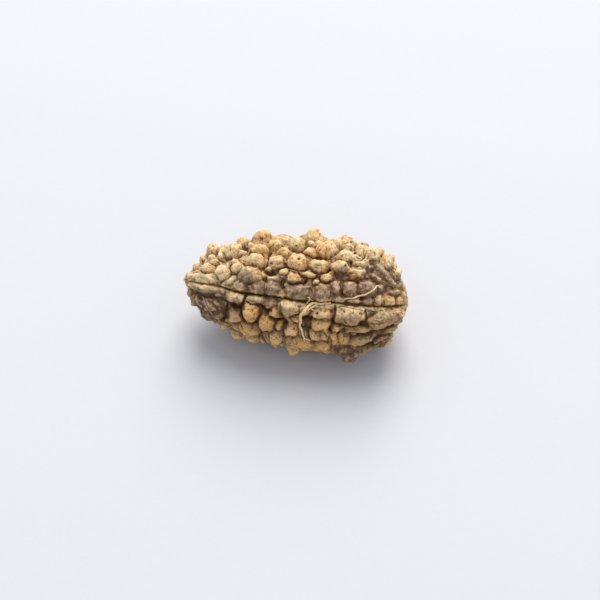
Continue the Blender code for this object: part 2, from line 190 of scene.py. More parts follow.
def newTree(name, takesGeometry, inputs, gives):
    # an empty tree with named inputs, which come back by name
    tree = bpy.data.node_groups.new(name, "GeometryNodeTree")
    face = tree.interface
    face.new_socket(takesGeometry, in_out="INPUT", socket_type="NodeSocketGeometry")
    for label, kind in inputs.items():
        face.new_socket(label, in_out="INPUT", socket_type="NodeSocket" + kind)
    face.new_socket(gives, in_out="OUTPUT", socket_type="NodeSocketGeometry")
    build = Build(tree)
    given = tree.nodes.new("NodeGroupInput")
    return build, {socket.name: Wire(build, socket) for socket in given.outputs if socket.name}


def endTree(build, geometry, material):
    real = build.node("GeometryNodeRealizeInstances", {}, {"Geometry": geometry})
    dressed = build.node("GeometryNodeSetMaterial", {}, {"Geometry": real, "Material": material})
    out = build.tree.nodes.new("NodeGroupOutput")
    build.tree.links.new(dressed.socket, out.inputs[0])
    return build.tree


def setInputs(modifier, values):
    # by each socket's own identifier
    for item in modifier.node_group.interface.items_tree:
        if item.item_type == "SOCKET" and item.in_out == "INPUT" and item.name in values:
            modifier[item.identifier] = values[item.name]


# where things are on the stone

# the whole stone, in millimetres and degrees
stone = {
    "length": 30.0,
    "axisHeight": 7.75,  # of the line that joins the ends
    "faceTilt": 50.0,  # that the near face looks up
    "sag": -0.45,  # of the body's middle below that line
    "sagStart": 4.0,
    "endRound": 0.35,  # over this much at each end the body closes
    "mostSlope": 0.6,  # that a knob leans with the body
    "bodyLump": (0.18, 0.45),  # depth and scale
    "rings": (80, 96),  # of the body, along it and round it
    "seed": 11,
    "voxel": 0.15,
    "mostTriangles": 192000,
}

# the body under the knobs: (along, radius)
bodyProfile = (
    (0.0, 0.35), (1.0, 1.3), (2.0, 2.35), (3.0, 3.3), (4.0, 4.1), (6.0, 5.1), (8.0, 5.9), (10.0, 6.3),
    (12.0, 6.55), (14.0, 6.8), (16.0, 6.95), (20.0, 6.95), (22.0, 6.85), (24.0, 6.5), (26.0, 5.85),
    (27.0, 5.3), (28.0, 4.4), (28.8, 3.4), (29.4, 2.5), (29.8, 1.6), (30.05, 0.5),
)

# how far the body is drawn in between the knobs: (along, depth)
recess = ((0.0, 0.0), (8.0, 0.05), (12.0, 0.25), (21.0, 0.25), (25.0, 0.12), (30.0, 0.0))

# the lists give places as they look from in front of the near face, from this far off
seen = {"distance": 188.0, "aside": 0.08, "below": 0.03, "offset": 0.15}

groove = {
    "near": (
        (0.0, -0.1), (1.5, -0.25), (3.0, -0.3), (4.4, -0.3), (5.0, -0.45), (6.0, -0.75), (7.0, -1.0),
        (9.0, -1.0), (10.0, -1.1), (13.0, -1.1), (14.5, -1.3), (16.0, -1.45), (18.0, -1.3), (20.0, -1.1),
        (23.0, -1.15), (25.0, -1.2), (27.0, -1.05), (28.5, -0.9), (30.0, -0.6),
    ),
    "far": ((0.0, 0.0), (8.0, 0.5), (16.0, -0.3), (23.0, 0.4), (30.0, 0.2)),
    "width": 0.15,
    "clear": 0.8,  # on each side of it nothing is sown
    "depth": ((0.0, 0.1), (4.5, 0.15), (6.0, 0.55), (18.0, 0.55), (20.0, 0.3), (23.0, 0.3), (30.0, 0.4)),
}

tilt = math.radians(stone["faceTilt"])
faceOut = Vector((0.0, -math.cos(tilt), math.sin(tilt)))
faceUp = Vector((0.0, math.sin(tilt), math.cos(tilt)))
restAngle = -(90.0 + stone["faceTilt"])  # straight down, in degrees from the face's outward way


def alongTable(table, along):
    stations = [row[0] for row in table]
    values = [row[1] for row in table]
    spread = (-0.6, -0.3, 0.0, 0.3, 0.6)
    return sum(np.interp(along + step, stations, values) for step in spread) / len(spread)


def bodyRadius(along):
    inside = min(along - bodyProfile[0][0], bodyProfile[-1][0] - along)
    return alongTable(bodyProfile, along) * min(1.0, math.sqrt(max(inside, 0.0) / stone["endRound"]))


def sagAt(along):
    return stone["sag"] * (1 - np.exp(-np.maximum(along, 0.0) / stone["sagStart"]))


def centreAt(along):
    return Vector((along - stone["length"] / 2, 0.0, stone["axisHeight"])) + faceUp * float(sagAt(along))


def outward(angle):
    return faceOut * math.cos(angle) + faceUp * math.sin(angle)


def angleOnFace(along, across, reach):
    fromCentre = across - float(sagAt(along))
    limit = knobShape["mostSideways"] * reach
    lift = max(0.0, abs(fromCentre) - limit)
    return math.asin(max(-limit, min(limit, fromCentre)) / reach), lift


def fromSeen(along, across):
    # where a place on the body really is, from where it looks to be
    reach = bodyRadius(along)
    depth = math.sqrt(max(reach**2 - (across - float(sagAt(along))) ** 2, 0.0))
    aside = seen["aside"] - (along - stone["length"] / 2) / seen["distance"]
    below = seen["below"] + across / seen["distance"]
    return along + seen["offset"] + depth * aside, across - depth * below


def surfaceFrame(along, angle):
    # a point on the body, and the ways along it, round it and out of it
    step = 0.25
    here = centreAt(along) + outward(angle) * bodyRadius(along)
    slope = min((bodyRadius(along + step) - bodyRadius(along - step)) / (2 * step), stone["mostSlope"])
    out = (outward(angle) - Vector((1.0, 0.0, 0.0)) * slope).normalized()
    around = (faceUp * math.cos(angle) - faceOut * math.sin(angle)).normalized()
    return here, around.cross(out).normalized(), around, out


def nearSeam(along, angle):
    across = bodyRadius(along) * math.sin(angle) + float(sagAt(along))
    table = groove["near"] if math.cos(angle) > 0 else groove["far"]
    return abs(across - alongTable(table, along)) < groove["clear"]


# the knobs

# knobs as (along, across, length, width, turn in degrees, point), listed by where they are
upperLeft = (
    (2.35, 0.5, 4.9, 1.5, -7.0), (0.45, -0.05, 1.2, 0.7), (1.7, 1.9, 1.1, 0.9), (2.6, 3.1, 1.3, 1.2),
    (3.1, 1.8, 1.6, 1.3),
    (4.0, 2.8, 1.8, 0.7), (3.8, 4.4, 1.6, 1.8), (4.8, 3.6, 1.3, 1.2), (5.1, 1.4, 1.9, 2.0),
    (6.3, 4.6, 2.4, 1.8), (7.5, 5.6, 1.4, 1.6), (7.6, 4.3, 1.2, 0.6), (7.2, 2.9, 1.2, 0.8),
    (7.1, 2.2, 1.6, 1.4), (6.4, 3.0, 0.8, 0.8), (6.1, 0.5, 2.0, 1.0, 25.0),
)
upperMiddle = (
    (8.8, 1.6, 2.6, 2.1), (9.3, 3.5, 2.2, 1.9), (9.8, 5.0, 2.2, 1.5), (10.2, 6.5, 2.6, 2.1, 0.0, 0.2),
    (11.8, 5.7, 1.9, 1.5), (12.1, 3.6, 2.3, 1.7), (11.1, 2.7, 0.9, 0.9), (13.2, 4.9, 2.0, 1.3),
    (13.3, 6.4, 1.0, 1.1), (14.7, 6.2, 1.8, 1.8), (15.0, 3.8, 2.3, 2.4), (16.4, 5.2, 1.7, 1.4),
    (17.6, 3.6, 2.4, 1.7), (16.8, 7.0, 2.6, 1.8, 0.0, 0.6), (18.7, 5.8, 2.5, 2.4), (20.3, 6.6, 1.4, 1.2),
    (18.9, 2.1, 1.4, 1.1), (14.6, 1.6, 1.8, 1.5), (13.2, 2.2, 1.3, 1.2), (16.2, 2.3, 2.1, 0.8),
    (17.6, 1.3, 0.8, 0.8),
)
upperRight = (
    (21.4, 5.2, 3.4, 1.4, -12.0), (20.6, 3.8, 2.0, 1.4), (23.2, 4.4, 2.2, 0.8), (22.9, 3.1, 2.3, 1.5),
    (21.5, 6.3, 1.1, 1.0), (23.0, 6.0, 1.3, 1.7), (24.6, 5.7, 1.7, 1.8), (21.9, 6.8, 1.5, 0.8),
    (25.4, 6.1, 1.1, 1.2), (26.6, 5.0, 1.5, 2.2), (27.8, 3.5, 1.2, 1.8), (26.0, 3.8, 1.9, 0.8, -45.0),
    (26.8, 3.0, 2.0, 0.8, -45.0), (25.4, 2.6, 1.6, 0.8, -30.0), (27.4, 2.2, 1.8, 0.8, -45.0),
    (28.2, 2.6, 1.6, 0.8, -50.0), (28.8, 1.6, 1.6, 0.9, -60.0), (28.0, 1.0, 1.8, 0.7, 10.0),
    (28.9, 0.8, 1.2, 0.9, -70.0),
)
aboveSeam = (
    (7.6, 0.0, 1.7, 1.2), (9.9, -0.1, 2.2, 1.5), (11.9, 0.0, 2.0, 1.7), (12.0, 1.3, 1.5, 0.8),
    (14.1, 0.5, 1.3, 1.1), (15.4, 0.0, 3.4, 1.7), (13.3, -0.4, 1.8, 1.0), (17.1, -0.2, 1.6, 1.4),
    (18.7, 0.0, 2.3, 2.1), (20.3, 0.8, 1.6, 1.7), (22.1, 0.9, 2.1, 1.8), (24.3, 1.2, 2.3, 1.8),
    (20.6, -0.5, 1.7, 1.0), (22.8, -0.6, 1.5, 0.8), (24.6, -0.45, 1.3, 0.9), (25.9, -0.25, 1.2, 1.2),
    (27.3, -0.3, 1.6, 1.2), (28.6, -0.2, 1.2, 1.0), (14.7, -1.0, 3.4, 0.3),
)
lowerLip = (
    (2.9, -0.85, 5.2, 1.1, -2.0), (7.1, -1.8, 2.4, 1.4), (10.0, -1.75, 2.8, 0.9), (9.3, -3.6, 2.0, 2.6),
    (11.8, -2.2, 1.8, 1.2), (12.5, -3.2, 1.3, 1.7), (14.4, -2.4, 2.8, 2.0), (15.4, -3.8, 1.2, 0.9),
    (16.2, -2.4, 1.6, 1.4), (18.7, -2.9, 2.3, 1.5), (18.7, -4.4, 2.3, 1.8), (22.5, -2.8, 3.7, 2.3),
    (27.3, -2.75, 4.9, 2.1), (18.6, -1.9, 2.8, 0.6), (21.0, -1.45, 3.6, 0.5), (24.0, -1.5, 3.4, 0.5),
    (26.8, -1.4, 3.4, 0.5), (28.8, -1.1, 1.8, 0.5, 8.0),
)
lowerSide = (
    (1.2, -1.8, 1.0, 1.4), (2.0, -2.9, 1.5, 1.6), (4.3, -3.2, 2.6, 1.9), (3.8, -4.6, 2.2, 1.6),
    (5.3, -4.2, 1.4, 1.5), (7.2, -4.3, 1.8, 1.8), (6.2, -5.5, 1.6, 1.4), (9.2, -6.0, 3.2, 1.8),
    (11.5, -4.9, 2.2, 2.2), (13.1, -5.1, 1.2, 1.3), (12.9, -6.7, 2.2, 1.9),
    (14.9, -5.5, 2.0, 1.8), (10.0, -7.0, 1.8, 1.2), (8.0, -6.5, 1.5, 1.4, 0.0, 0.5), (11.6, -7.1, 1.2, 1.2),
    (16.2, -7.1, 3.6, 1.8), (15.4, -7.7, 1.7, 1.6, 0.0, 0.5), (18.1, -5.9, 1.6, 1.5),
    (19.4, -5.7, 1.3, 1.3),
    (19.3, -7.0, 2.0, 1.5), (20.8, -4.6, 1.4, 0.9), (20.6, -6.0, 1.3, 1.6), (21.9, -5.8, 1.3, 1.6),
    (19.9, -7.6, 1.6, 1.0), (17.2, -7.6, 1.6, 0.9), (23.6, -4.6, 3.0, 1.0, 5.0),
    (24.0, -5.9, 3.6, 1.2, 10.0),
    (27.2, -4.8, 2.6, 1.0, 25.0), (26.8, -6.2, 2.2, 1.0, 35.0), (24.4, -7.3, 2.4, 0.8, 15.0),
    (25.8, -7.3, 2.0, 0.7, 30.0), (22.7, -7.6, 3.0, 2.2, 0.0, 0.6), (21.2, -7.6, 2.0, 1.2),
    (28.2, -3.8, 1.5, 0.9, 50.0), (27.6, -4.9, 1.4, 0.9, 45.0),
)
nearFace = upperLeft + upperMiddle + upperRight + aboveSeam + lowerLip + lowerSide

# every knob, as shares of its width unless a note says otherwise
knobShape = {
    "proud": 0.52,
    "lift": 0.1,  # in millimetres
    "fullness": 0.6,  # its half length over the length it shows
    "point": 0.15,  # how far it is drawn to a point, as a share of its height
    "mostLift": 0.5,  # past the body's outline
    "mostSideways": 0.985,  # of the body's radius, where a place is beyond its outline
}

sown = {  # knobs sown where the lists don't reach
    "rounds": ((2.3, 500), (1.8, 900), (1.4, 1500), (1.0, 2200)),  # width, how many times to try
    "spacing": 0.43,
    "inViewSpacing": 0.52,
    "inViewFrom": 2.0,
    "inViewTo": 26.5,
    "to": 27.8,
    "sunk": 0.08,
    "inViewWidth": 1.2,
    "inViewAngle": 97.0,
    "undersideWidth": 1.6,
    "undersideAngle": 28.0,
    "longer": (1.0, 1.6),  # its length over its width
    "lipStep": (1.6, 3.0),  # how long each knob of the far groove's lips is
    "lipWidth": (1.1, 1.7),
    "lipGap": 0.35,
    "rest": (15.3, 0.0, 4.6, 3.6),  # the round it lies on, worn flat
}


def knob(row, angle, lift=0.0):
    along, _, length, width, turn, point = (*row, 0.0, 0.0)[:6]
    here, ahead, around, out = surfaceFrame(along, angle)
    swing = math.radians(turn)
    longWay = ahead * math.cos(swing) + around * math.sin(swing)
    wideWay = around * math.cos(swing) - ahead * math.sin(swing)
    height = knobShape["proud"] * width + knobShape["lift"]
    return {
        "centre": here + out * lift,
        "axes": Matrix((longWay, wideWay, out)),
        "size": Vector((length * knobShape["fullness"], width * knobShape["fullness"], height)),
        "point": (point + knobShape["point"]) * height,
        "spread": (length + width) / 2,
    }


def listedKnobs():
    for row in nearFace:
        along, across = fromSeen(row[0], row[1])
        # measured out to about half the knob's height
        reach = bodyRadius(along) + 0.5 * knobShape["proud"] * row[3]
        angle, lift = angleOnFace(along, across, reach)
        yield knob((along, across, *row[2:]), angle, min(lift, knobShape["mostLift"] * row[3]))


def farLips(rng):
    # two rows of long knobs, one on each side of the far groove, smaller towards the ends
    for side in (-1, 1):
        along = 1.6
        while along < stone["length"] - 2.0:
            taper = min(1.0, 0.35 + bodyRadius(along) / 7.0)
            length = rng.uniform(*sown["lipStep"]) * taper
            width = rng.uniform(*sown["lipWidth"]) * taper
            middle = along + length / 2
            across = alongTable(groove["far"], middle) + side * (sown["lipGap"] + width / 2)
            angle = math.pi - angleOnFace(middle, across, bodyRadius(middle) + 0.3)[0]
            yield knob((middle, across, length, width, rng.uniform(-8, 8)), angle)
            along += length * 0.9


def widestSown(along, angle):
    # small in view and underneath, and elsewhere as wide as the body there allows
    if abs(math.degrees(angle)) < sown["inViewAngle"]:
        return sown["inViewWidth"]
    if abs(math.degrees(angle) - restAngle) < sown["undersideAngle"]:
        return sown["undersideWidth"]
    return 0.6 + bodyRadius(along) / 3.5


def sownKnobs(rng, taken):
    places = [one["centre"] for one in taken]
    spreads = [one["spread"] for one in taken]
    for width, tries in sown["rounds"]:
        for _ in range(tries):
            along = rng.uniform(1.0, sown["to"])
            angle = rng.uniform(-math.pi, math.pi)
            size = width * rng.uniform(0.85, 1.1)
            inView = abs(math.degrees(angle)) < sown["inViewAngle"]
            if nearSeam(along, angle) or size > widestSown(along, angle):
                continue
            if inView and not sown["inViewFrom"] < along < sown["inViewTo"]:
                continue
            here = surfaceFrame(along, angle)[0]
            gaps = np.linalg.norm(np.array(places) - np.array(here), axis=1)
            spacing = sown["inViewSpacing"] if inView else sown["spacing"]
            if (gaps < spacing * (np.array(spreads) + size)).any():
                continue
            places.append(here)
            spreads.append(size)
            length = size * rng.uniform(*sown["longer"])
            yield knob((along, 0.0, length, size, rng.uniform(-90, 90)), angle, -sown["sunk"] * size)


def allKnobs():
    rng = random.Random(stone["seed"])
    placed = list(listedKnobs())
    placed.append(knob(sown["rest"], math.radians(restAngle)))
    placed += farLips(rng)
    placed += list(sownKnobs(rng, placed))
    return placed


def knobPoints(knobs):
    # one vertex for each knob, with what the tree below reads
    mesh = bpy.data.meshes.new("knobPoints")
    mesh.from_pydata([tuple(one["centre"]) for one in knobs], [], [])
    vectors = {
        "centre": [one["centre"] for one in knobs],
        "facing": [one["axes"].transposed().to_euler() for one in knobs],
        "size": [one["size"] for one in knobs],
        "out": [one["axes"][2] for one in knobs],
    }
    for name, rows in vectors.items():
        made = mesh.attributes.new(name, "FLOAT_VECTOR", "POINT")
        made.data.foreach_set("vector", np.array(rows, np.float32).ravel())
    storeValue(mesh, "point", np.array([one["point"] for one in knobs]))
    storeValue(mesh, "number", np.arange(len(knobs)))
    return addObject("knobPoints", mesh)


knobSkin = {
    "steps": 4,
    "lumpScale": 1.5,
    "lumpDepth": 0.3,
    "fineScale": 4.0,
    "fineDepth": 0.09,
}


def knobTree():
    # puts a ball on each point, at its size and turn, and draws each into its own lumpy shape
    build, takes = newTree("knobs on points", "Points", {
        "Steps": "Int", "Lump scale": "Float", "Lump depth": "Float",
        "Fine scale": "Float", "Fine depth": "Float", "Material": "Material",
    }, "Knobs")

    def named(name, kind="FLOAT"):
        return build.node("GeometryNodeInputNamedAttribute", {"data_type": kind}, {"Name": name})

    ball = build.node("GeometryNodeMeshIcoSphere", {}, {"Radius": 1.0, "Subdivisions": takes["Steps"]})
    position = build.node("GeometryNodeInputPosition")
    ball = build.node(
        "GeometryNodeStoreNamedAttribute", {"data_type": "FLOAT_VECTOR", "domain": "POINT"},
        {"Geometry": ball, "Name": "unit", "Value": position},
    )
    turned = build.node("FunctionNodeEulerToRotation", {}, {0: named("facing", "FLOAT_VECTOR")})
    placed = build.node("GeometryNodeInstanceOnPoints", {}, {
        "Points": takes["Points"], "Instance": ball, "Rotation": turned,
        "Scale": named("size", "FLOAT_VECTOR"),
    })
    real = build.node("GeometryNodeRealizeInstances", {}, {"Geometry": placed})
    unit = named("unit", "FLOAT_VECTOR")
    shift = build.node("ShaderNodeCombineXYZ", {}, {"X": named("number") * 7.3})  # so that no two are alike
    where = build.vectorMaths("ADD", unit, shift)
    lump = (build.noise(where, takes["Lump scale"], 1.0) - 0.5) * takes["Lump depth"] * 2.0
    fine = (build.noise(where, takes["Fine scale"], 2.0) - 0.5) * takes["Fine depth"] * 2.0
    away = build.vectorMaths("SUBTRACT", position, named("centre", "FLOAT_VECTOR"))
    swell = build.vectorMaths("SCALE", away, lump + fine)
    top = build.node("ShaderNodeSeparateXYZ", {}, {0: unit}, "Z")
    top = top.maths("MAXIMUM", top, 0.0)
    drawn = build.vectorMaths("SCALE", named("out", "FLOAT_VECTOR"), top ** 3.0 * named("point"))
    offset = build.vectorMaths("ADD", swell, drawn)
    moved = build.node("GeometryNodeSetPosition", {}, {"Geometry": real, "Offset": offset})
    return endTree(build, moved, takes["Material"])


def knobMesh(knobs, material):
    points = knobPoints(knobs)
    modifier = points.modifiers.new("knobs", "NODES")
    modifier.node_group = knobTree()
    setInputs(modifier, {
        "Steps": knobSkin["steps"],
        "Lump scale": knobSkin["lumpScale"],
        "Lump depth": knobSkin["lumpDepth"],
        "Fine scale": knobSkin["fineScale"],
        "Fine depth": knobSkin["fineDepth"],
        "Material": material,
    })
    made = evaluatedMesh(points)
    bpy.data.objects.remove(points)
    return made


# the stone's skin

def addBody(work):
    # the drop-shaped body under the knobs, ring by ring
    rings, steps = stone["rings"]
    lumpDepth, lumpScale = stone["bodyLump"]
    first, last = bodyProfile[0][0], bodyProfile[-1][0]
    grid = []
    for i in range(1, rings):
        along = first + (last - first) * (1 - math.cos(math.pi * i / rings)) / 2
        ring = []
        for k in range(steps):
            way = outward(2 * math.pi * k / steps)
            reach = bodyRadius(along) - alongTable(recess, along)
            lump = lumpDepth * noise.noise((way * reach + Vector((along, 0, 0))) * lumpScale)
            ring.append(work.verts.new(centreAt(along) + way * (reach + lump)))
        grid.append(ring)
    for a, b in zip(grid, grid[1:]):
        for k in range(steps):
            work.faces.new((a[k], a[(k + 1) % steps], b[(k + 1) % steps], b[k]))
    for ring, along in ((grid[0], first), (grid[-1], last)):
        tip = work.verts.new(centreAt(along))
        for k in range(steps):
            work.faces.new((tip, ring[k], ring[(k + 1) % steps]))


def roughSkin(knobs, material):
    # the body and the knobs as one closed skin
    work = bmesh.new()
    addBody(work)
    work.from_mesh(knobMesh(knobs, material))
    bmesh.ops.recalc_face_normals(work, faces=work.faces)
    mesh = bpy.data.meshes.new("roughSkin")
    work.to_mesh(mesh)
    work.free()
    rough = addObject("roughSkin", mesh)
    remesh = rough.modifiers.new("oneSkin", "REMESH")
    remesh.mode = "VOXEL"
    remesh.voxel_size = stone["voxel"]
    skin = evaluatedMesh(rough)
    bpy.data.objects.remove(rough)
    keepOuterSkin(skin)
    return skin


def keepOuterSkin(mesh):
    # sealed hollows inside the remeshed skin are dropped
    work = bmesh.new()
    work.from_mesh(mesh)
    left, islands = set(work.verts), []
    while left:
        island, edge = set(), [left.pop()]
        while edge:
            vert = edge.pop()
            island.add(vert)
            for other in (e.other_vert(vert) for e in vert.link_edges):
                if other in left:
                    left.discard(other)
                    edge.append(other)
        islands.append(island)
    outer = max(islands, key=len)
    stray = [v for island in islands if island is not outer for v in island]
    bmesh.ops.delete(work, geom=stray, context="VERTS")
    work.to_mesh(mesh)
    work.free()


def depthOf(coords):
    # how far each point is in front of the line that joins the ends
    return coords[:, 1] * faceOut.y + (coords[:, 2] - stone["axisHeight"]) * faceOut.z


def farness(coords):
    # 0 on the near face and 1 on the far side, with a soft change between
    return smooth(0.5, -1.5, depthOf(coords))


def faceCoordinates(coords):
    # along, across, how far from the body's middle, and whether it is on the near side
    along = coords[:, 0] + stone["length"] / 2
    offset = coords[:, 1:] - np.array((0.0, stone["axisHeight"]))
    rise = offset @ np.array(faceUp[1:])
    depth = offset @ np.array(faceOut[1:])
    reach = np.hypot(rise - sagAt(along), depth)
    near = depth > 0
    aside = seen["aside"] - (along - stone["length"] / 2) / seen["distance"]
    along = np.where(near, along - seen["offset"] - depth * aside, along)
    rise = np.where(near, rise + depth * (seen["below"] + rise / seen["distance"]), rise)
    return along, rise, reach, near


def smoothed(coords, edges, rounds):
    count = np.bincount(edges.ravel(), minlength=len(coords)).astype(float)
    for _ in range(rounds):
        total = np.empty_like(coords)
        for axis in range(3):
            total[:, axis] = np.bincount(edges[:, 0], coords[edges[:, 1], axis], len(coords))
            total[:, axis] += np.bincount(edges[:, 1], coords[edges[:, 0], axis], len(coords))
        coords = (coords + total / count[:, None]) / 2
    return coords


def noiseAt(coords, stretch, offset=0.0):
    stretched = coords * np.array(stretch) + offset
    return np.array([noise.noise(Vector(row)) for row in stretched])


# how the remeshed skin is worked over: depths in millimetres, noise scales, and widths of the lines in them
skinWork = {
    "knobsNear": 7,  # how many knobs each point is measured against
    "gapDepth": 0.12,  # between neighbouring knobs
    "gapWidth": 0.16,
    "mostSink": 1.3,
    "rimWidth": 0.26,  # of the line of painted shade in them
    "ribDepth": 0.1,
    "ribScale": (3.2, 3.2, 1.0),
    "furrowDepth": 0.06,
    "furrowScale": (4.5, 4.5, 1.3),
    "furrowWidth": 0.1,
    "foldDepth": 0.12,
    "foldScale": (0.8, 0.95, 0.95),
    "crackDepth": 0.06,
    "crackScale": (1.15, 1.7, 1.7),
    "crackWidth": 0.06,
    "fissureDepth": 0.4,  # on the far side
    "fissureScale": (0.3, 0.42, 0.42),
    "fissureWidth": 0.045,
    "grainDepth": 0.025,
    "grainScale": (3.4, 4.2, 4.2),
    "broadRounds": 24,  # of smoothing, which the hollows are measured against
    "tightRounds": 4,
    "broadHollow": 0.35,
    "tightHollow": 0.05,
}
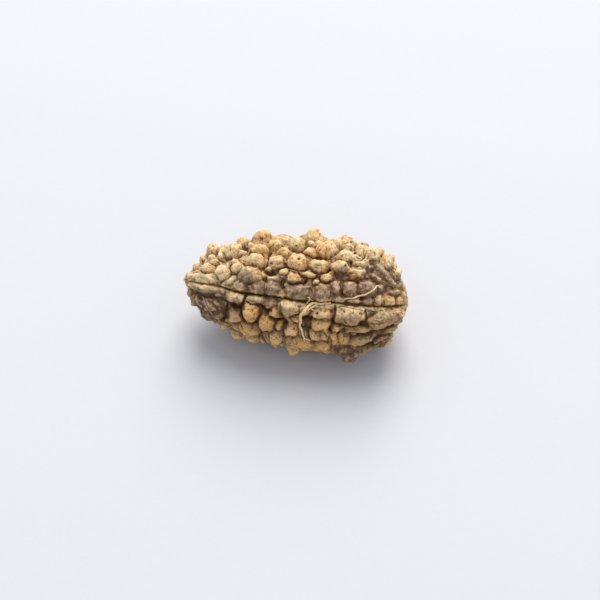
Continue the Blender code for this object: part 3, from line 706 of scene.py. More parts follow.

# creases on the near face, sunk into the skin and given painted shade: (width, depth, route)
creases = (
    (0.16, 0.25, (
        (1.0, 1.0), (2.1, 1.5), (2.3, 1.2), (3.0, 1.1), (3.8, 1.1), (4.0, 1.6), (3.9, 2.2), (4.2, 2.1),
    )),
    (0.26, 0.40, (
        (4.0, 1.2), (4.3, 0.7), (4.8, 0.15), (5.3, 0.35), (5.9, 0.9), (6.3, 1.3), (6.9, 1.4), (7.2, 1.9),
    )),
    (0.20, 0.30, ((4.1, 4.4), (4.0, 3.5), (4.6, 3.0), (5.3, 2.9))),
    (0.60, 0.50, ((5.5, 3.4), (5.9, 3.5))),
    (0.24, 0.35, ((6.1, 3.5), (7.0, 3.8), (7.9, 4.2), (8.1, 5.0), (8.0, 5.7))),
    (0.22, 0.30, ((7.1, 4.9), (7.6, 4.75), (7.9, 4.95))),
    (0.22, 0.35, ((6.0, 2.9), (5.9, 2.2), (6.2, 1.7), (6.7, 1.5))),
    (0.20, 0.30, ((7.0, 3.4), (7.6, 3.1), (8.0, 2.6))),
    (0.30, 0.50, ((11.1, 4.7), (11.0, 3.9), (10.8, 3.0), (10.5, 2.5))),
    (0.50, 0.50, ((10.7, 2.2), (11.3, 1.9), (11.9, 2.0))),
    (0.26, 0.50, (
        (11.5, 2.3), (12.5, 2.75), (13.6, 3.05), (14.4, 2.85), (15.4, 2.75), (16.2, 2.95), (16.6, 3.3),
    )),
    (0.30, 0.25, ((13.0, 3.8), (13.5, 3.3))),
    (0.22, 0.45, ((13.5, 5.6), (14.0, 5.25), (14.7, 5.1), (15.4, 5.25), (15.8, 5.9), (15.7, 6.6))),
    (0.26, 0.50, (
        (15.4, 5.1), (16.0, 4.9), (16.8, 4.55), (17.6, 4.5), (18.4, 4.55), (19.1, 4.75),
        (19.7, 5.3), (20.6, 6.2),
    )),
    (0.36, 0.30, ((20.0, 5.7), (20.7, 6.3))),
    (0.30, 0.55, ((16.5, 3.3), (17.0, 2.8), (18.0, 2.6), (18.9, 2.85), (19.2, 3.4))),
    (0.16, 0.20, ((16.9, 6.9), (17.0, 7.6), (17.1, 8.3))),
    (0.20, 0.35, ((12.2, 2.3), (12.6, 1.9), (13.4, 1.9), (13.9, 2.5))),
    (0.30, 0.50, ((14.0, 1.0), (14.5, 0.75), (15.3, 1.0), (16.0, 0.95), (16.2, 1.5))),
    (0.24, 0.45, ((15.1, 2.5), (15.5, 2.0), (16.3, 1.75), (17.2, 1.8), (17.5, 2.2))),
    (0.26, 0.45, ((18.0, 2.0), (18.3, 1.5), (19.1, 1.35), (19.6, 1.7))),
    (0.40, 0.50, ((12.9, 0.5), (13.3, 0.2))),
    (0.40, 0.45, ((16.8, 0.3), (17.0, 0.0))),
    (0.16, 0.30, ((17.1, 1.6), (17.2, 1.1), (17.9, 1.0), (18.1, 1.4))),
    (0.18, 0.22, ((11.0, 1.1), (11.1, 0.4), (11.0, -0.3))),
    (0.26, 0.25, ((8.4, 0.2), (9.0, 0.3), (9.3, -0.3))),
    (0.20, 0.25, ((19.6, 0.9), (19.7, 0.1), (19.5, -0.7))),
    (0.30, 0.40, ((20.9, 1.6), (21.1, 0.6), (21.2, -0.2))),
    (0.22, 0.28, ((23.1, 1.9), (23.2, 1.0), (23.1, 0.4))),
    (0.36, 0.40, ((20.0, 2.9), (20.3, 2.1), (21.2, 1.9), (22.3, 2.1), (23.4, 2.3))),
    (0.50, 0.30, ((20.3, 2.6), (20.9, 2.3))),
    (0.26, 0.35, ((22.4, 7.0), (22.2, 6.1), (22.7, 5.6), (23.3, 5.2))),
    (0.22, 0.40, ((23.3, 4.9), (23.6, 5.3), (23.4, 6.0))),
    (0.20, 0.35, ((21.3, 4.5), (21.9, 4.4), (21.9, 3.8), (22.5, 3.7), (23.6, 3.75))),
    (0.50, 0.50, ((24.6, 4.6), (25.0, 4.1), (24.8, 3.4))),
    (0.30, 0.40, ((24.1, 4.3), (24.2, 3.4), (23.9, 2.5))),
    (0.14, 0.20, ((25.9, 5.2), (27.1, 4.2), (28.0, 3.1), (29.0, 1.9))),
    (0.14, 0.20, ((25.6, 4.5), (26.5, 3.8), (27.5, 3.0), (28.6, 1.9), (29.2, 1.2))),
    (0.16, 0.25, ((25.0, 3.3), (26.2, 2.6), (27.0, 2.2), (28.0, 1.7))),
    (0.14, 0.20, ((26.9, 4.9), (28.0, 3.8), (29.2, 2.2))),
    (0.14, 0.20, ((25.3, 2.3), (26.4, 1.9), (27.2, 1.7), (28.1, 1.2))),
    (0.50, 0.40, ((26.8, 1.6), (26.9, 1.0))),
    (0.18, 0.20, ((25.2, 0.2), (25.3, -0.7))),
    (0.22, 0.28, ((26.4, 0.3), (26.5, -0.7))),
    (0.16, 0.20, ((28.2, 0.4), (28.3, -0.7))),
    (0.24, 0.20, ((23.8, 0.1), (23.6, -0.7))),
    (0.12, 0.20, (
        (21.0, -1.55), (22.5, -1.6), (24.5, -1.8), (25.5, -1.75), (27.0, -1.6), (28.5, -1.55),
        (29.6, -1.25),
    )),
    (0.12, 0.15, ((25.6, -1.5), (26.5, -1.4), (28.0, -1.3))),
    (0.36, 0.60, ((20.4, -1.6), (20.4, -2.5), (20.3, -3.4), (20.2, -4.0), (19.8, -4.8))),
    (0.28, 0.70, ((24.5, -1.8), (24.6, -2.4), (24.6, -3.0), (24.5, -3.6))),
    (0.80, 0.60, ((24.1, -3.7), (24.7, -3.8))),
    (0.24, 0.30, ((21.0, -3.8), (22.0, -4.1), (23.0, -4.1), (24.0, -4.0))),
    (0.20, 0.35, ((21.1, -6.1), (21.0, -5.1), (21.4, -4.7), (22.3, -4.6))),
    (0.20, 0.30, ((21.9, -5.3), (21.9, -6.2))),
    (0.26, 0.55, (
        (22.6, -5.1), (24.0, -5.0), (25.0, -4.9), (26.0, -4.6), (27.0, -4.2), (27.8, -3.7), (28.2, -3.4),
    )),
    (0.40, 0.55, ((23.8, -7.0), (24.8, -6.6), (25.7, -6.2), (26.0, -5.5), (26.8, -5.1), (27.8, -4.8))),
    (0.30, 0.50, ((20.8, -7.7), (21.8, -7.3), (22.6, -7.0), (23.3, -7.4), (24.2, -7.7))),
    (0.22, 0.35, ((26.2, -6.9), (27.0, -6.4), (27.7, -5.8), (28.4, -5.1))),
    (0.20, 0.30, ((24.6, -7.7), (25.6, -7.2), (26.2, -6.9))),
    (0.26, 0.35, ((19.0, -4.9), (19.3, -5.4), (20.3, -6.2), (20.3, -7.1))),
    (0.20, 0.30, ((17.8, -3.5), (18.6, -3.6), (19.6, -3.4))),
    (0.24, 0.40, ((17.7, -5.2), (18.5, -5.3), (19.2, -5.1))),
    (0.24, 0.35, ((17.6, -6.5), (18.6, -6.7), (19.4, -6.4))),
    (0.65, 0.90, ((16.8, -3.6), (16.7, -4.3), (16.8, -5.2))),
    (0.35, 0.60, ((17.4, -3.4), (17.3, -4.0), (17.1, -5.6), (17.5, -6.6))),
    (0.30, 0.60, ((16.0, -3.2), (16.1, -4.2), (16.2, -5.2), (16.6, -6.2))),
    (0.26, 0.30, ((13.1, -1.6), (13.1, -2.5), (13.2, -3.3), (13.7, -3.9))),
    (0.26, 0.45, ((14.6, -3.6), (15.2, -3.3), (15.9, -3.4))),
    (0.14, 0.20, ((15.0, -3.9), (15.6, -3.85), (16.0, -3.9))),
    (0.40, 0.70, ((12.0, -4.0), (12.7, -4.3), (13.4, -4.1), (14.1, -4.2), (14.3, -4.8))),
    (0.60, 0.70, ((14.0, -4.5), (14.0, -5.1))),
    (0.28, 0.50, ((13.9, -5.1), (13.8, -5.8), (14.0, -6.6), (13.8, -7.4))),
    (0.28, 0.45, ((12.7, -4.4), (12.5, -5.2), (12.9, -5.8), (13.7, -5.7))),
    (0.34, 0.50, ((10.6, -3.7), (10.3, -4.6), (10.4, -5.4), (11.0, -5.9), (11.8, -6.2), (12.4, -5.9))),
    (0.50, 0.45, ((10.8, -6.4), (11.2, -7.0), (11.6, -7.6))),
    (0.22, 0.40, ((15.8, -4.8), (15.9, -5.7), (15.4, -6.3), (14.4, -6.3))),
    (0.24, 0.30, ((14.3, -7.6), (15.3, -7.6), (16.4, -7.9))),
    (0.22, 0.65, ((8.7, -2.2), (9.1, -2.5), (9.6, -2.45), (10.3, -2.35))),
    (0.50, 0.70, ((10.7, -2.6), (11.3, -3.1), (11.8, -3.0))),
    (0.34, 0.70, (
        (8.4, -1.3), (8.2, -2.0), (8.0, -2.8), (8.0, -3.6), (8.2, -4.4), (8.8, -5.05),
        (9.7, -5.1), (10.3, -4.7),
    )),
    (0.75, 0.80, ((6.9, -2.8), (7.4, -3.0), (7.9, -3.0))),
    (0.40, 0.45, ((1.8, -1.7), (2.8, -2.1), (3.6, -2.1), (5.0, -2.0), (6.0, -2.4), (6.9, -2.8))),
    (0.24, 0.30, ((5.6, -1.2), (5.8, -2.1))),
    (0.30, 0.40, ((2.0, -2.2), (2.9, -2.6), (3.1, -3.4), (2.6, -4.0))),
    (0.26, 0.35, ((3.3, -2.5), (4.1, -2.9), (4.7, -3.6), (4.9, -4.2))),
    (0.22, 0.30, ((3.0, -3.5), (3.8, -3.9), (4.6, -4.0))),
    (0.40, 0.50, ((6.0, -3.0), (6.1, -3.8), (6.2, -4.6), (5.4, -4.9))),
    (0.24, 0.40, ((6.0, -5.2), (7.0, -5.2), (7.9, -5.3), (8.4, -5.9))),
    (0.26, 0.40, ((6.9, -6.1), (7.9, -6.4), (8.8, -7.1))),
    (0.24, 0.30, ((11.6, -5.9), (11.9, -6.8), (12.3, -7.6))),
)

# small dark pores: (along, across, radius, depth)
pores = (
    (2.1, 2.6, 0.13, 0.12), (14.5, 5.9, 0.12, 0.15), (15.0, 4.3, 0.17, 0.25), (21.3, 3.9, 0.15, 0.25),
    (21.9, 4.35, 0.22, 0.2), (18.1, -2.75, 0.14, 0.2), (13.2, 3.4, 0.2, 0.2), (11.4, 3.25, 0.12, 0.2),
    (22.3, 5.6, 0.14, 0.2), (7.7, 4.9, 0.2, 0.2), (22.0, -3.6, 0.12, 0.15), (13.6, 3.1, 0.13, 0.2),
    (19.3, 5.0, 0.12, 0.15), (4.5, 3.0, 0.15, 0.15), (21.7, 7.0, 0.15, 0.2), (15.2, -5.0, 0.1, 0.15),
)


def knobShares(coords, knobs):
    # for each vertex its knob, where it is on that knob, and how near the next knob comes
    tree = KDTree(len(knobs))
    for i, one in enumerate(knobs):
        tree.insert(one["centre"], i)
    tree.balance()
    shares = np.array([np.array(one["axes"]) / np.array(one["size"])[:, None] for one in knobs])
    centres = np.array([one["centre"] for one in knobs])
    count = skinWork["knobsNear"]
    found = np.array([[hit[1] for hit in tree.find_n(Vector(row), count)] for row in coords])
    units = np.einsum("nkij,nkj->nki", shares[found], coords[:, None, :] - centres[found])
    far = np.linalg.norm(units, axis=2)
    order = np.argsort(far, axis=1)
    rows = np.arange(len(coords))
    gap = far[rows, order[:, 1]] - far[rows, order[:, 0]]
    return found[rows, order[:, 0]], units[rows, order[:, 0]], gap


def seamSink(along, rise, reach, near):
    # how far the grooves draw the skin in
    seam = np.where(near, alongTable(groove["near"], along), alongTable(groove["far"], along))
    depth = alongTable(groove["depth"], along) * np.clip(reach / 3.0, 0, 1)
    return depth * bell(rise - seam, groove["width"])


def creaseSink(along, rise, near):
    # the deepest crease at each point counts, so that they don't add up where they meet
    sink = np.zeros(len(along))
    wander = 0.06 * np.sin(along * 5.1 + 2.0 * rise), 0.06 * np.sin(rise * 4.3 + 1.7 * along)
    spot = np.stack([along + wander[0], rise + wander[1]], axis=1)
    for width, depth, route in creases:
        low, high = np.min(route, axis=0) - 1.0, np.max(route, axis=0) + 1.0
        inside = np.flatnonzero(near & (spot > low).all(axis=1) & (spot < high).all(axis=1))
        apart = np.full(len(inside), 9.0)
        for start, end in zip(np.array(route[:-1]), np.array(route[1:])):
            way = end - start
            share = np.clip((spot[inside] - start) @ way / (way @ way), 0, 1)
            apart = np.minimum(apart, np.linalg.norm(spot[inside] - start - share[:, None] * way, axis=1))
        sink[inside] = np.maximum(sink[inside], depth * bell(apart, width * 0.55))
    comes = np.array([noise.noise(Vector((a * 0.8, r * 0.8, 5.0))) for a, r in spot])
    fade = smooth(-0.75, 0.2, comes)
    return sink * (fade + (1 - fade) * np.clip(sink / 0.5, 0, 1))


def spotSink(spots, along, rise, near):
    sink = np.zeros(len(along))
    for at, up, radius, depth in spots:
        apart = ((along - at) ** 2 + (rise - up) ** 2) / radius**2
        sink += np.where(near & (apart < 8), depth * np.exp(-apart), 0.0)
    return sink


def towardsMiddle(coords):
    # the way that grooves and creases are drawn in
    sag = sagAt(coords[:, 0] + stone["length"] / 2)
    middle = np.stack([coords[:, 0], faceUp.y * sag, stone["axisHeight"] + faceUp.z * sag], axis=1)
    inward = middle - coords
    return inward / np.maximum(np.linalg.norm(inward, axis=1), 0.3)[:, None]


def reliefAt(coords, which, local, gap):
    # ribs and furrows run down each knob's sides, and the rest runs over all of them
    sides = smooth(0.97, 0.75, local[:, 2])
    around = np.arctan2(local[:, 1], local[:, 0])
    ring = np.stack([np.cos(around), np.sin(around), local[:, 2] * 0.25 + which * 3.1], axis=1)
    ribs = noiseAt(ring, skinWork["ribScale"])
    furrows = bell(noiseAt(ring, skinWork["furrowScale"], 17.0), skinWork["furrowWidth"]) * sides
    cracks = bell(noiseAt(coords, skinWork["crackScale"], 40.0), skinWork["crackWidth"])
    grain = noiseAt(coords, skinWork["grainScale"], 9.0)
    fissures = bell(noiseAt(coords, skinWork["fissureScale"], 60.0), skinWork["fissureWidth"])
    fissures *= farness(coords)
    folds = 0.5 - np.abs(noiseAt(coords, skinWork["foldScale"], 21.0)) * 2
    lift = skinWork["ribDepth"] * ribs * sides - skinWork["furrowDepth"] * furrows
    lift += skinWork["foldDepth"] * folds
    lift += skinWork["grainDepth"] * grain - skinWork["crackDepth"] * cracks * smooth(0.0, 0.25, gap)
    lift -= skinWork["fissureDepth"] * fissures
    return lift, furrows, cracks, fissures


def workSkin(mesh, knobs):
    # grooves, creases, wrinkles, cracks and pores, all in the skin's own shape
    coords = coordsOf(mesh)
    normals = normalsOf(mesh)
    along, rise, reach, near = faceCoordinates(coords)
    which, local, gap = knobShares(coords, knobs)
    sink = np.maximum(seamSink(along, rise, reach, near), creaseSink(along, rise, near))
    sink += skinWork["gapDepth"] * bell(gap, skinWork["gapWidth"])
    coords += towardsMiddle(coords) * np.minimum(sink, skinWork["mostSink"])[:, None]
    lift, furrows, cracks, fissures = reliefAt(coords, which, local, gap)
    pore = spotSink(pores, along, rise, near)
    coords += normals * (lift - pore)[:, None]
    setCoords(mesh, coords)
    return {
        "which": which, "gap": gap, "low": 1 - smooth(0.15, 0.8, local[:, 2]), "furrows": furrows,
        "cracks": cracks, "pore": pore, "sink": sink + 0.3 * fissures,
    }


# soft spots of colour on the near face: (along, across, half length, half width, strength)
paint = {
    "stain": (
        (7.6, 0.6, 1.2, 0.9, 0.8), (8.5, 1.4, 1.0, 1.0, 0.7), (9.6, 0.0, 2.2, 0.8, 0.9),
        (12.0, 0.2, 2.0, 0.9, 0.85),
        (12.6, 1.3, 1.2, 0.7, 0.7), (15.3, 0.2, 2.0, 1.0, 0.95), (17.8, 0.3, 2.0, 1.1, 0.9),
        (20.2, 0.8, 1.5, 1.5, 0.9), (22.2, 0.7, 1.6, 1.2, 0.8), (24.4, 0.9, 1.8, 1.5, 0.9),
        (20.7, 2.5, 1.2, 0.9, 0.7), (26.3, 2.6, 1.8, 1.6, 0.9), (25.2, 4.0, 0.9, 0.9, 0.9),
        (28.2, 2.2, 1.2, 1.4, 0.6), (27.5, 0.9, 1.6, 0.6, 0.6), (23.4, -0.5, 2.6, 0.5, 0.7),
        (4.4, -1.9, 1.8, 0.45, 0.8), (8.1, -2.1, 0.8, 0.6, 0.6), (11.4, -2.1, 1.5, 0.8, 0.7),
        (4.2, -3.2, 2.8, 1.3, 1.0), (3.6, -4.7, 2.1, 1.3, 1.0), (1.9, -2.9, 1.0, 0.8, 0.6),
        (6.8, -3.9, 0.8, 1.0, 0.7), (23.2, -2.9, 1.5, 0.9, 0.4), (28.2, -2.7, 1.6, 0.8, 0.4),
        (26.0, -3.6, 2.0, 0.5, 0.6), (23.8, -5.1, 2.2, 0.7, 0.8), (24.0, -6.5, 2.4, 0.8, 0.8),
        (27.2, -5.0, 2.2, 1.1, 1.0), (26.4, -6.5, 2.0, 0.8, 0.95), (22.8, -8.1, 2.2, 1.2, 1.0),
        (24.8, -7.5, 2.0, 0.6, 0.85), (21.5, -7.5, 1.2, 0.6, 0.8), (20.2, -4.0, 0.5, 0.8, 0.5),
        (16.9, -4.6, 0.6, 0.9, 0.6), (14.4, -6.9, 0.6, 0.9, 0.4), (5.2, -5.6, 1.6, 0.7, 0.7),
        (22.8, -3.5, 1.8, 0.6, 0.7), (28.0, -2.8, 1.8, 0.9, 0.75), (26.3, -3.3, 1.4, 0.4, 0.5),
        (1.2, -1.9, 0.8, 1.0, 0.5), (5.6, -4.6, 1.0, 1.4, 0.7), (7.0, -2.3, 1.4, 0.4, 0.6),
        (13.3, -3.0, 0.7, 1.0, 0.5), (16.3, -2.9, 0.8, 0.6, 0.5), (9.7, -4.6, 1.0, 0.5, 0.4),
        (21.0, -0.9, 1.2, 0.3, 0.6), (24.6, 3.3, 1.0, 1.6, 0.8), (6.9, -5.6, 0.9, 0.6, 0.6),
        (7.2, -2.2, 1.3, 0.5, 0.9), (10.6, -2.1, 1.4, 0.5, 0.7), (14.4, -3.0, 1.3, 0.6, 0.6),
        (22.6, -3.4, 1.9, 0.6, 0.9), (27.5, -3.2, 2.2, 0.6, 0.8), (3.6, -1.4, 2.6, 0.4, 0.9),
        (1.5, -1.2, 1.0, 0.4, 0.6), (26.0, -2.6, 0.8, 0.5, 0.6), (10.8, -4.6, 1.0, 0.5, 0.5),
        (12.9, -5.8, 1.2, 0.4, 0.5), (8.6, -6.6, 1.6, 0.5, 0.5), (18.8, -3.6, 1.2, 0.4, 0.5),
    ),
    "dark": (
        (4.0, -3.3, 2.6, 1.3, 0.9), (3.4, -4.8, 2.0, 1.1, 0.9), (5.3, -4.4, 0.8, 1.2, 0.6),
        (1.8, -2.7, 0.9, 0.7, 0.5),
        (22.8, -8.3, 2.0, 1.0, 1.0), (24.8, -7.4, 2.0, 0.5, 0.8), (24.2, -5.1, 2.0, 0.5, 0.7),
        (27.4, -5.0, 1.8, 0.6, 0.8), (26.4, -6.4, 1.8, 0.5, 0.7), (25.2, 3.6, 0.8, 1.2, 0.7),
        (9.4, 0.2, 0.9, 0.6, 0.5), (12.3, 0.6, 0.8, 0.5, 0.5), (16.9, 0.2, 0.7, 0.8, 0.5),
        (4.5, -1.5, 1.4, 0.3, 0.5), (20.8, 2.6, 0.9, 0.6, 0.5), (26.8, 1.5, 1.6, 0.7, 0.5),
    ),
    "warm": (
        (15.0, 3.4, 1.3, 1.0, 0.8), (14.7, 1.4, 1.0, 0.8, 0.9), (17.6, 3.2, 1.4, 0.8, 0.5),
        (9.2, 3.2, 1.2, 1.0, 0.3), (22.9, 2.9, 1.5, 0.8, 0.7), (18.7, 5.2, 1.3, 1.0, 0.45),
        (11.4, -4.8, 1.6, 1.4, 0.8), (9.3, -3.4, 1.2, 1.4, 0.4), (14.3, -3.0, 1.0, 0.6, 0.5),
        (19.4, -5.6, 1.5, 1.8, 0.7), (21.2, -5.8, 1.6, 1.2, 0.7), (19.6, -7.4, 2.2, 0.9, 0.7),
        (15.7, -7.0, 2.0, 0.8, 0.6), (24.5, -0.4, 0.7, 0.6, 0.7), (25.8, -0.2, 0.6, 0.8, 0.6),
        (27.4, -0.3, 0.9, 0.7, 0.5), (28.8, -0.2, 0.8, 0.8, 0.5), (22.1, 0.9, 0.8, 0.8, 0.3),
        (10.1, 6.7, 1.2, 1.0, 0.5), (26.9, 5.4, 1.2, 1.5, 0.5), (9.4, -5.8, 1.6, 1.2, 0.4),
        (18.2, -4.2, 1.4, 0.8, 0.6), (12.9, -6.5, 1.5, 1.2, 0.4), (14.8, -5.4, 1.2, 1.0, 0.4),
    ),
    "pale": (
        (4.5, 2.5, 4.0, 2.6, 0.5), (2.6, 0.6, 2.8, 0.8, 0.6), (3.1, -0.9, 2.4, 0.45, 0.6),
        (6.2, 0.5, 1.2, 0.5, 0.6), (13.3, 6.4, 0.6, 0.7, 0.9), (9.8, -1.6, 1.2, 0.45, 0.9),
        (7.3, -1.5, 1.2, 0.4, 0.6), (14.6, -2.0, 1.5, 0.45, 0.7), (21.4, 5.4, 2.0, 0.8, 0.6),
        (23.2, 4.5, 1.3, 0.45, 0.7), (22.0, -2.3, 1.6, 0.5, 0.7), (26.2, -2.3, 1.8, 0.45, 0.6),
        (18.3, -2.4, 1.0, 0.5, 0.5), (18.1, -5.8, 0.8, 0.9, 0.8), (28.5, 1.2, 0.8, 0.25, 0.7),
        (27.6, 2.0, 1.2, 0.2, 0.6), (23.2, 5.2, 3.4, 2.0, 0.8), (27.2, 4.6, 1.4, 1.6, 0.7),
        (25.4, 5.6, 2.0, 1.4, 0.6), (21.2, 6.6, 2.0, 0.9, 0.6), (18.4, -4.6, 1.6, 1.4, 0.4),
        (14.9, -5.6, 1.2, 1.2, 0.4), (12.9, -6.5, 1.2, 1.0, 0.3), (24.0, -1.65, 5.0, 0.22, 0.9),
    ),
}


def paintOn(spots, along, rise, shown):
    # the spots run into each other and never pass full strength
    clear = np.ones(len(along))
    for at, up, halfLength, halfWidth, strength in spots:
        apart = ((along - at) / halfLength) ** 2 + ((rise - up) / halfWidth) ** 2
        clear *= 1 - strength * smooth(1.9, 0.35, apart) * shown
    return 1 - clear


def hollowness(coords, edges, normals, rounds, deepest):
    # 0.5 where the skin is flat, up to 1 in a hollow and down to 0 on a bump
    sunk = np.einsum("ij,ij->i", smoothed(coords, edges, rounds) - coords, normals)
    return np.clip(sunk / deepest * 0.5 + 0.5, 0, 1)


def finishSkin(mesh, knobs, facts):
    # what the material reads, as values on the skin
    coords, edges, normals = coordsOf(mesh), edgesOf(mesh), normalsOf(mesh)
    along, rise, _, near = faceCoordinates(coords)
    wobble = 0.35 * noiseAt(coords, (0.9, 0.9, 0.9), 3.0)
    shown = smooth(-1.2, 0.2, depthOf(coords))
    for name, spots in paint.items():
        storeValue(mesh, name, paintOn(spots, along + wobble, rise + wobble, shown))
    rng = random.Random(stone["seed"] + 1)
    tones = np.array([rng.random() for _ in knobs])
    farBand = smooth(4.0, 1.5, np.abs(rise - alongTable(groove["far"], along)))
    fromSeam = np.abs(rise - alongTable(groove["near"], along))
    streaks = noiseAt(np.stack([along, rise, np.zeros(len(along))], axis=1), (2.6, 0.7, 1.0))
    broad, tight = skinWork["broadRounds"], skinWork["tightRounds"]
    values = {
        "far": farness(coords) * (0.75 + 0.25 * farBand),
        "under": smooth(-1.5, -4.0, rise + wobble),
        # hollowness, which the material turns into painted shade in hollows and painted highlights on tops
        "cavity": hollowness(coords, edges, normals, broad, skinWork["broadHollow"]),
        "fineCavity": hollowness(coords, edges, normals, tight, skinWork["tightHollow"]),
        "tone": tones[facts["which"]],
        "crack": facts["cracks"],
        "crease": np.clip(facts["sink"] / 0.35, 0, 1),
        "low": facts["low"],
        # where the gaps between knobs take painted shade
        "knobGapShade": bell(facts["gap"], skinWork["rimWidth"]),
        "furrow": facts["furrows"],
        "streak": smooth(-0.05, 0.3, streaks) * smooth(2.6, 1.2, fromSeam) * near,
        "pore": np.clip(facts["pore"] / 0.12, 0, 1),
    }
    for name, value in values.items():
        storeValue(mesh, name, value)


def flatten(skin):
    # what would reach below the table is worn flat
    coords = coordsOf(skin)
    coords[:, 2] = np.maximum(coords[:, 2], 0.0)
    setCoords(skin, coords)


def thin(piece):
    # down to the most triangles, with no modifier left on it
    triangles = 2 * len(piece.data.polygons)
    if triangles <= stone["mostTriangles"]:
        return
    modifier = piece.modifiers.new("thin", "DECIMATE")
    modifier.ratio = stone["mostTriangles"] / triangles
    thinned = evaluatedMesh(piece)
    piece.modifiers.remove(modifier)
    piece.data = thinned


def makeStone(material):
    knobs = allKnobs()
    print(f"stone: {len(knobs)} knobs")
    skin = roughSkin(knobs, material)
    print(f"stone: skin of {len(skin.polygons)} faces")
    facts = workSkin(skin, knobs)
    finishSkin(skin, knobs, facts)
    flatten(skin)
    setCoords(skin, coordsOf(skin) * mm)
    piece = addObject("stone_skin", skin)
    thin(piece)
    piece.data.shade_smooth()
    piece.data.materials.clear()
    piece.data.materials.append(material)
    print(f"stone: {sum(len(face.vertices) - 2 for face in piece.data.polygons)} triangles")
    return piece


# the materials

def newMaterial(name):
    made = bpy.data.materials.new(name)
    made.use_nodes = True
    made.node_tree.nodes.clear()
    return made, Build(made.node_tree)


def finishMaterial(build, colour, roughness, height, depth, constants):
    inputs = {"Height": height, "Strength": 1.0, "Distance": depth}
    bump = build.node("ShaderNodeBump", {}, inputs)
    inputs = {"Base Color": colour, "Roughness": roughness, "Normal": bump, **constants}
    shader = build.node("ShaderNodeBsdfPrincipled", {}, inputs)
    out = build.tree.nodes.new("ShaderNodeOutputMaterial")
    build.tree.links.new(shader.socket, out.inputs["Surface"])


# the wood's own tones, some of which also serve as painted highlights on knob tops and painted shade in
# hollows
woodTones = {
    "tan": linear(246, 212, 154),
    "golden": linear(226, 172, 102),
    # pale tone of the painted highlights on the knob tops, also used for light specks
    "light": linear(252, 226, 174),
    "pale": linear(246, 220, 170),
    "warm": linear(214, 142, 66),
    "stain": linear(156, 124, 102),
    # the stain's painted highlight on the knob tops
    "stainHighlight": linear(216, 182, 142),
    "stainDark": linear(52, 38, 34),
    "dusk": linear(106, 85, 67),
    "amber": linear(222, 167, 93),
    # painted shade along the gaps between knobs
    "knobGapShade": linear(96, 64, 38),
    "brown": linear(122, 82, 46),
    # near black, for painted shade in the deepest hollows and creases, and for the dark pores
    "shadeAndPoreBlack": linear(36, 24, 16),
}


def skinFields(build):
    # what the layers of colour read: the values kept on the skin, and noises from broad to fine
    where = build.node("ShaderNodeTexCoord", {}, {}, "Object")
    where = build.vectorMaths("SCALE", where, 1000.0)  # in millimetres
    look = {name: build.attribute(name) for name in (
        "stain", "dark", "warm", "pale", "far", "under", "cavity", "fineCavity", "tone",
        "crack", "crease", "low", "knobGapShade", "furrow", "streak", "pore",
    )}
    look["soft"] = build.noise(where, 0.45, 3.0)
    look["blotch"] = build.noise(where, 0.8, 3.0, 0.6)
    look["mottle"] = build.noise(where, 1.3, 4.0, 0.6)
    look["ridge"] = (build.noise(where, 1.7, 3.0, 0.6) - 0.5).absolute()
    look["speck"] = build.noise(where, 4.0, 4.0, 0.65)
    look["grit"] = build.noise(where, 6.5, 3.0, 0.6)
    # convex knob tops, where the painted highlights go
    look["top"] = build.between(look["cavity"], 0.46, 0.2)
    return look


def woodWithPaintedHighlight(build, look):
    # golden to tan from knob to knob, with a painted highlight on the knob tops, weaker underneath and on
    # the far side, and brown blotches that are heavier towards each knob's base
    mottle = look["mottle"]
    tan = (look["tone"] * 0.6 + mottle * 1.1 - 0.35).clamped()
    base = build.mix(tan, woodTones["golden"], woodTones["tan"])
    base = build.mix(look["pale"] * build.between(mottle, 0.2, 0.6) * 0.9, base, woodTones["pale"])
    base = build.mix(look["warm"] * build.between(mottle, 0.75, 0.35), base, woodTones["warm"])
    # painted highlight: the knob tops mixed towards a pale tone
    paintedHighlight = look["top"] * (0.6 - look["under"] * 0.3 - look["far"] * 0.25)
    base = build.mix(paintedHighlight, base, woodTones["light"])
    blotch = build.between(look["blotch"], 0.5, 0.64)
    return build.mix(blotch * (0.1 + look["low"] * 0.25), base, woodTones["brown"])


def stainWithPaintedLight(build, look, base):
    # purple-grey stain in patches, thinner on the tops, with painted shade in its hollows and a painted
    # highlight on its tops, darker still on the far side, and amber towards the underside
    top, far, mottle = look["top"], look["far"], look["mottle"]
    hidden = build.between(look["soft"], 0.45, 0.51) * far  # in patches of its own on the far side
    stain = (look["stain"] + hidden).clamped()
    patchy = stain * build.between(mottle + stain * 0.4 - top * 0.15, 0.38, 0.7)
    # painted shade: the stain darker in the hollows and lighter on raised parts, mixed with specks
    raised = build.between(look["cavity"], 0.56, 0.3)
    shade = (build.between(look["speck"], 0.4, 0.58) * 0.5 + raised * 0.7 - 0.15).clamped()
    stained = build.mix(shade, woodTones["stainDark"], woodTones["stain"])
    # painted highlight on the stain over the knob tops, weaker on the far side
    stained = build.mix(top * (0.6 - far * 0.45), stained, woodTones["stainHighlight"])
    stained = build.mix(far * 0.4, stained, woodTones["stainDark"])
    base = build.mix((patchy * 0.92).clamped(), base, stained)
    return build.mix(look["under"] * build.between(mottle, 0.3, 0.6) * 0.65, base, woodTones["amber"])


def darkSpotsWithPaintedShade(build, look, base):
    # dark patches, with painted shade nearly black in their hollows and painted highlights on their tops
    top, mottle = look["top"], look["mottle"]
    dark = look["dark"] * build.between(mottle + look["dark"] * 0.3 - top * 0.2, 0.35, 0.7)
    grain = build.between(look["speck"] * 0.6 + mottle * 0.4, 0.44, 0.56)
    dusky = build.mix(grain, woodTones["stainDark"], woodTones["dusk"])
    # painted highlight on the dark patches over the knob tops
    dusky = build.mix(top * build.between(mottle, 0.3, 0.6) * 0.9, dusky, woodTones["stainHighlight"])
    base = build.mix((dark * 0.85).clamped(), base, dusky)
    # painted shade, nearly black, in the hollows of the dark patches
    return build.mix(dark * build.between(look["cavity"], 0.49, 0.62) * 0.8, base, woodTones["shadeAndPoreBlack"])


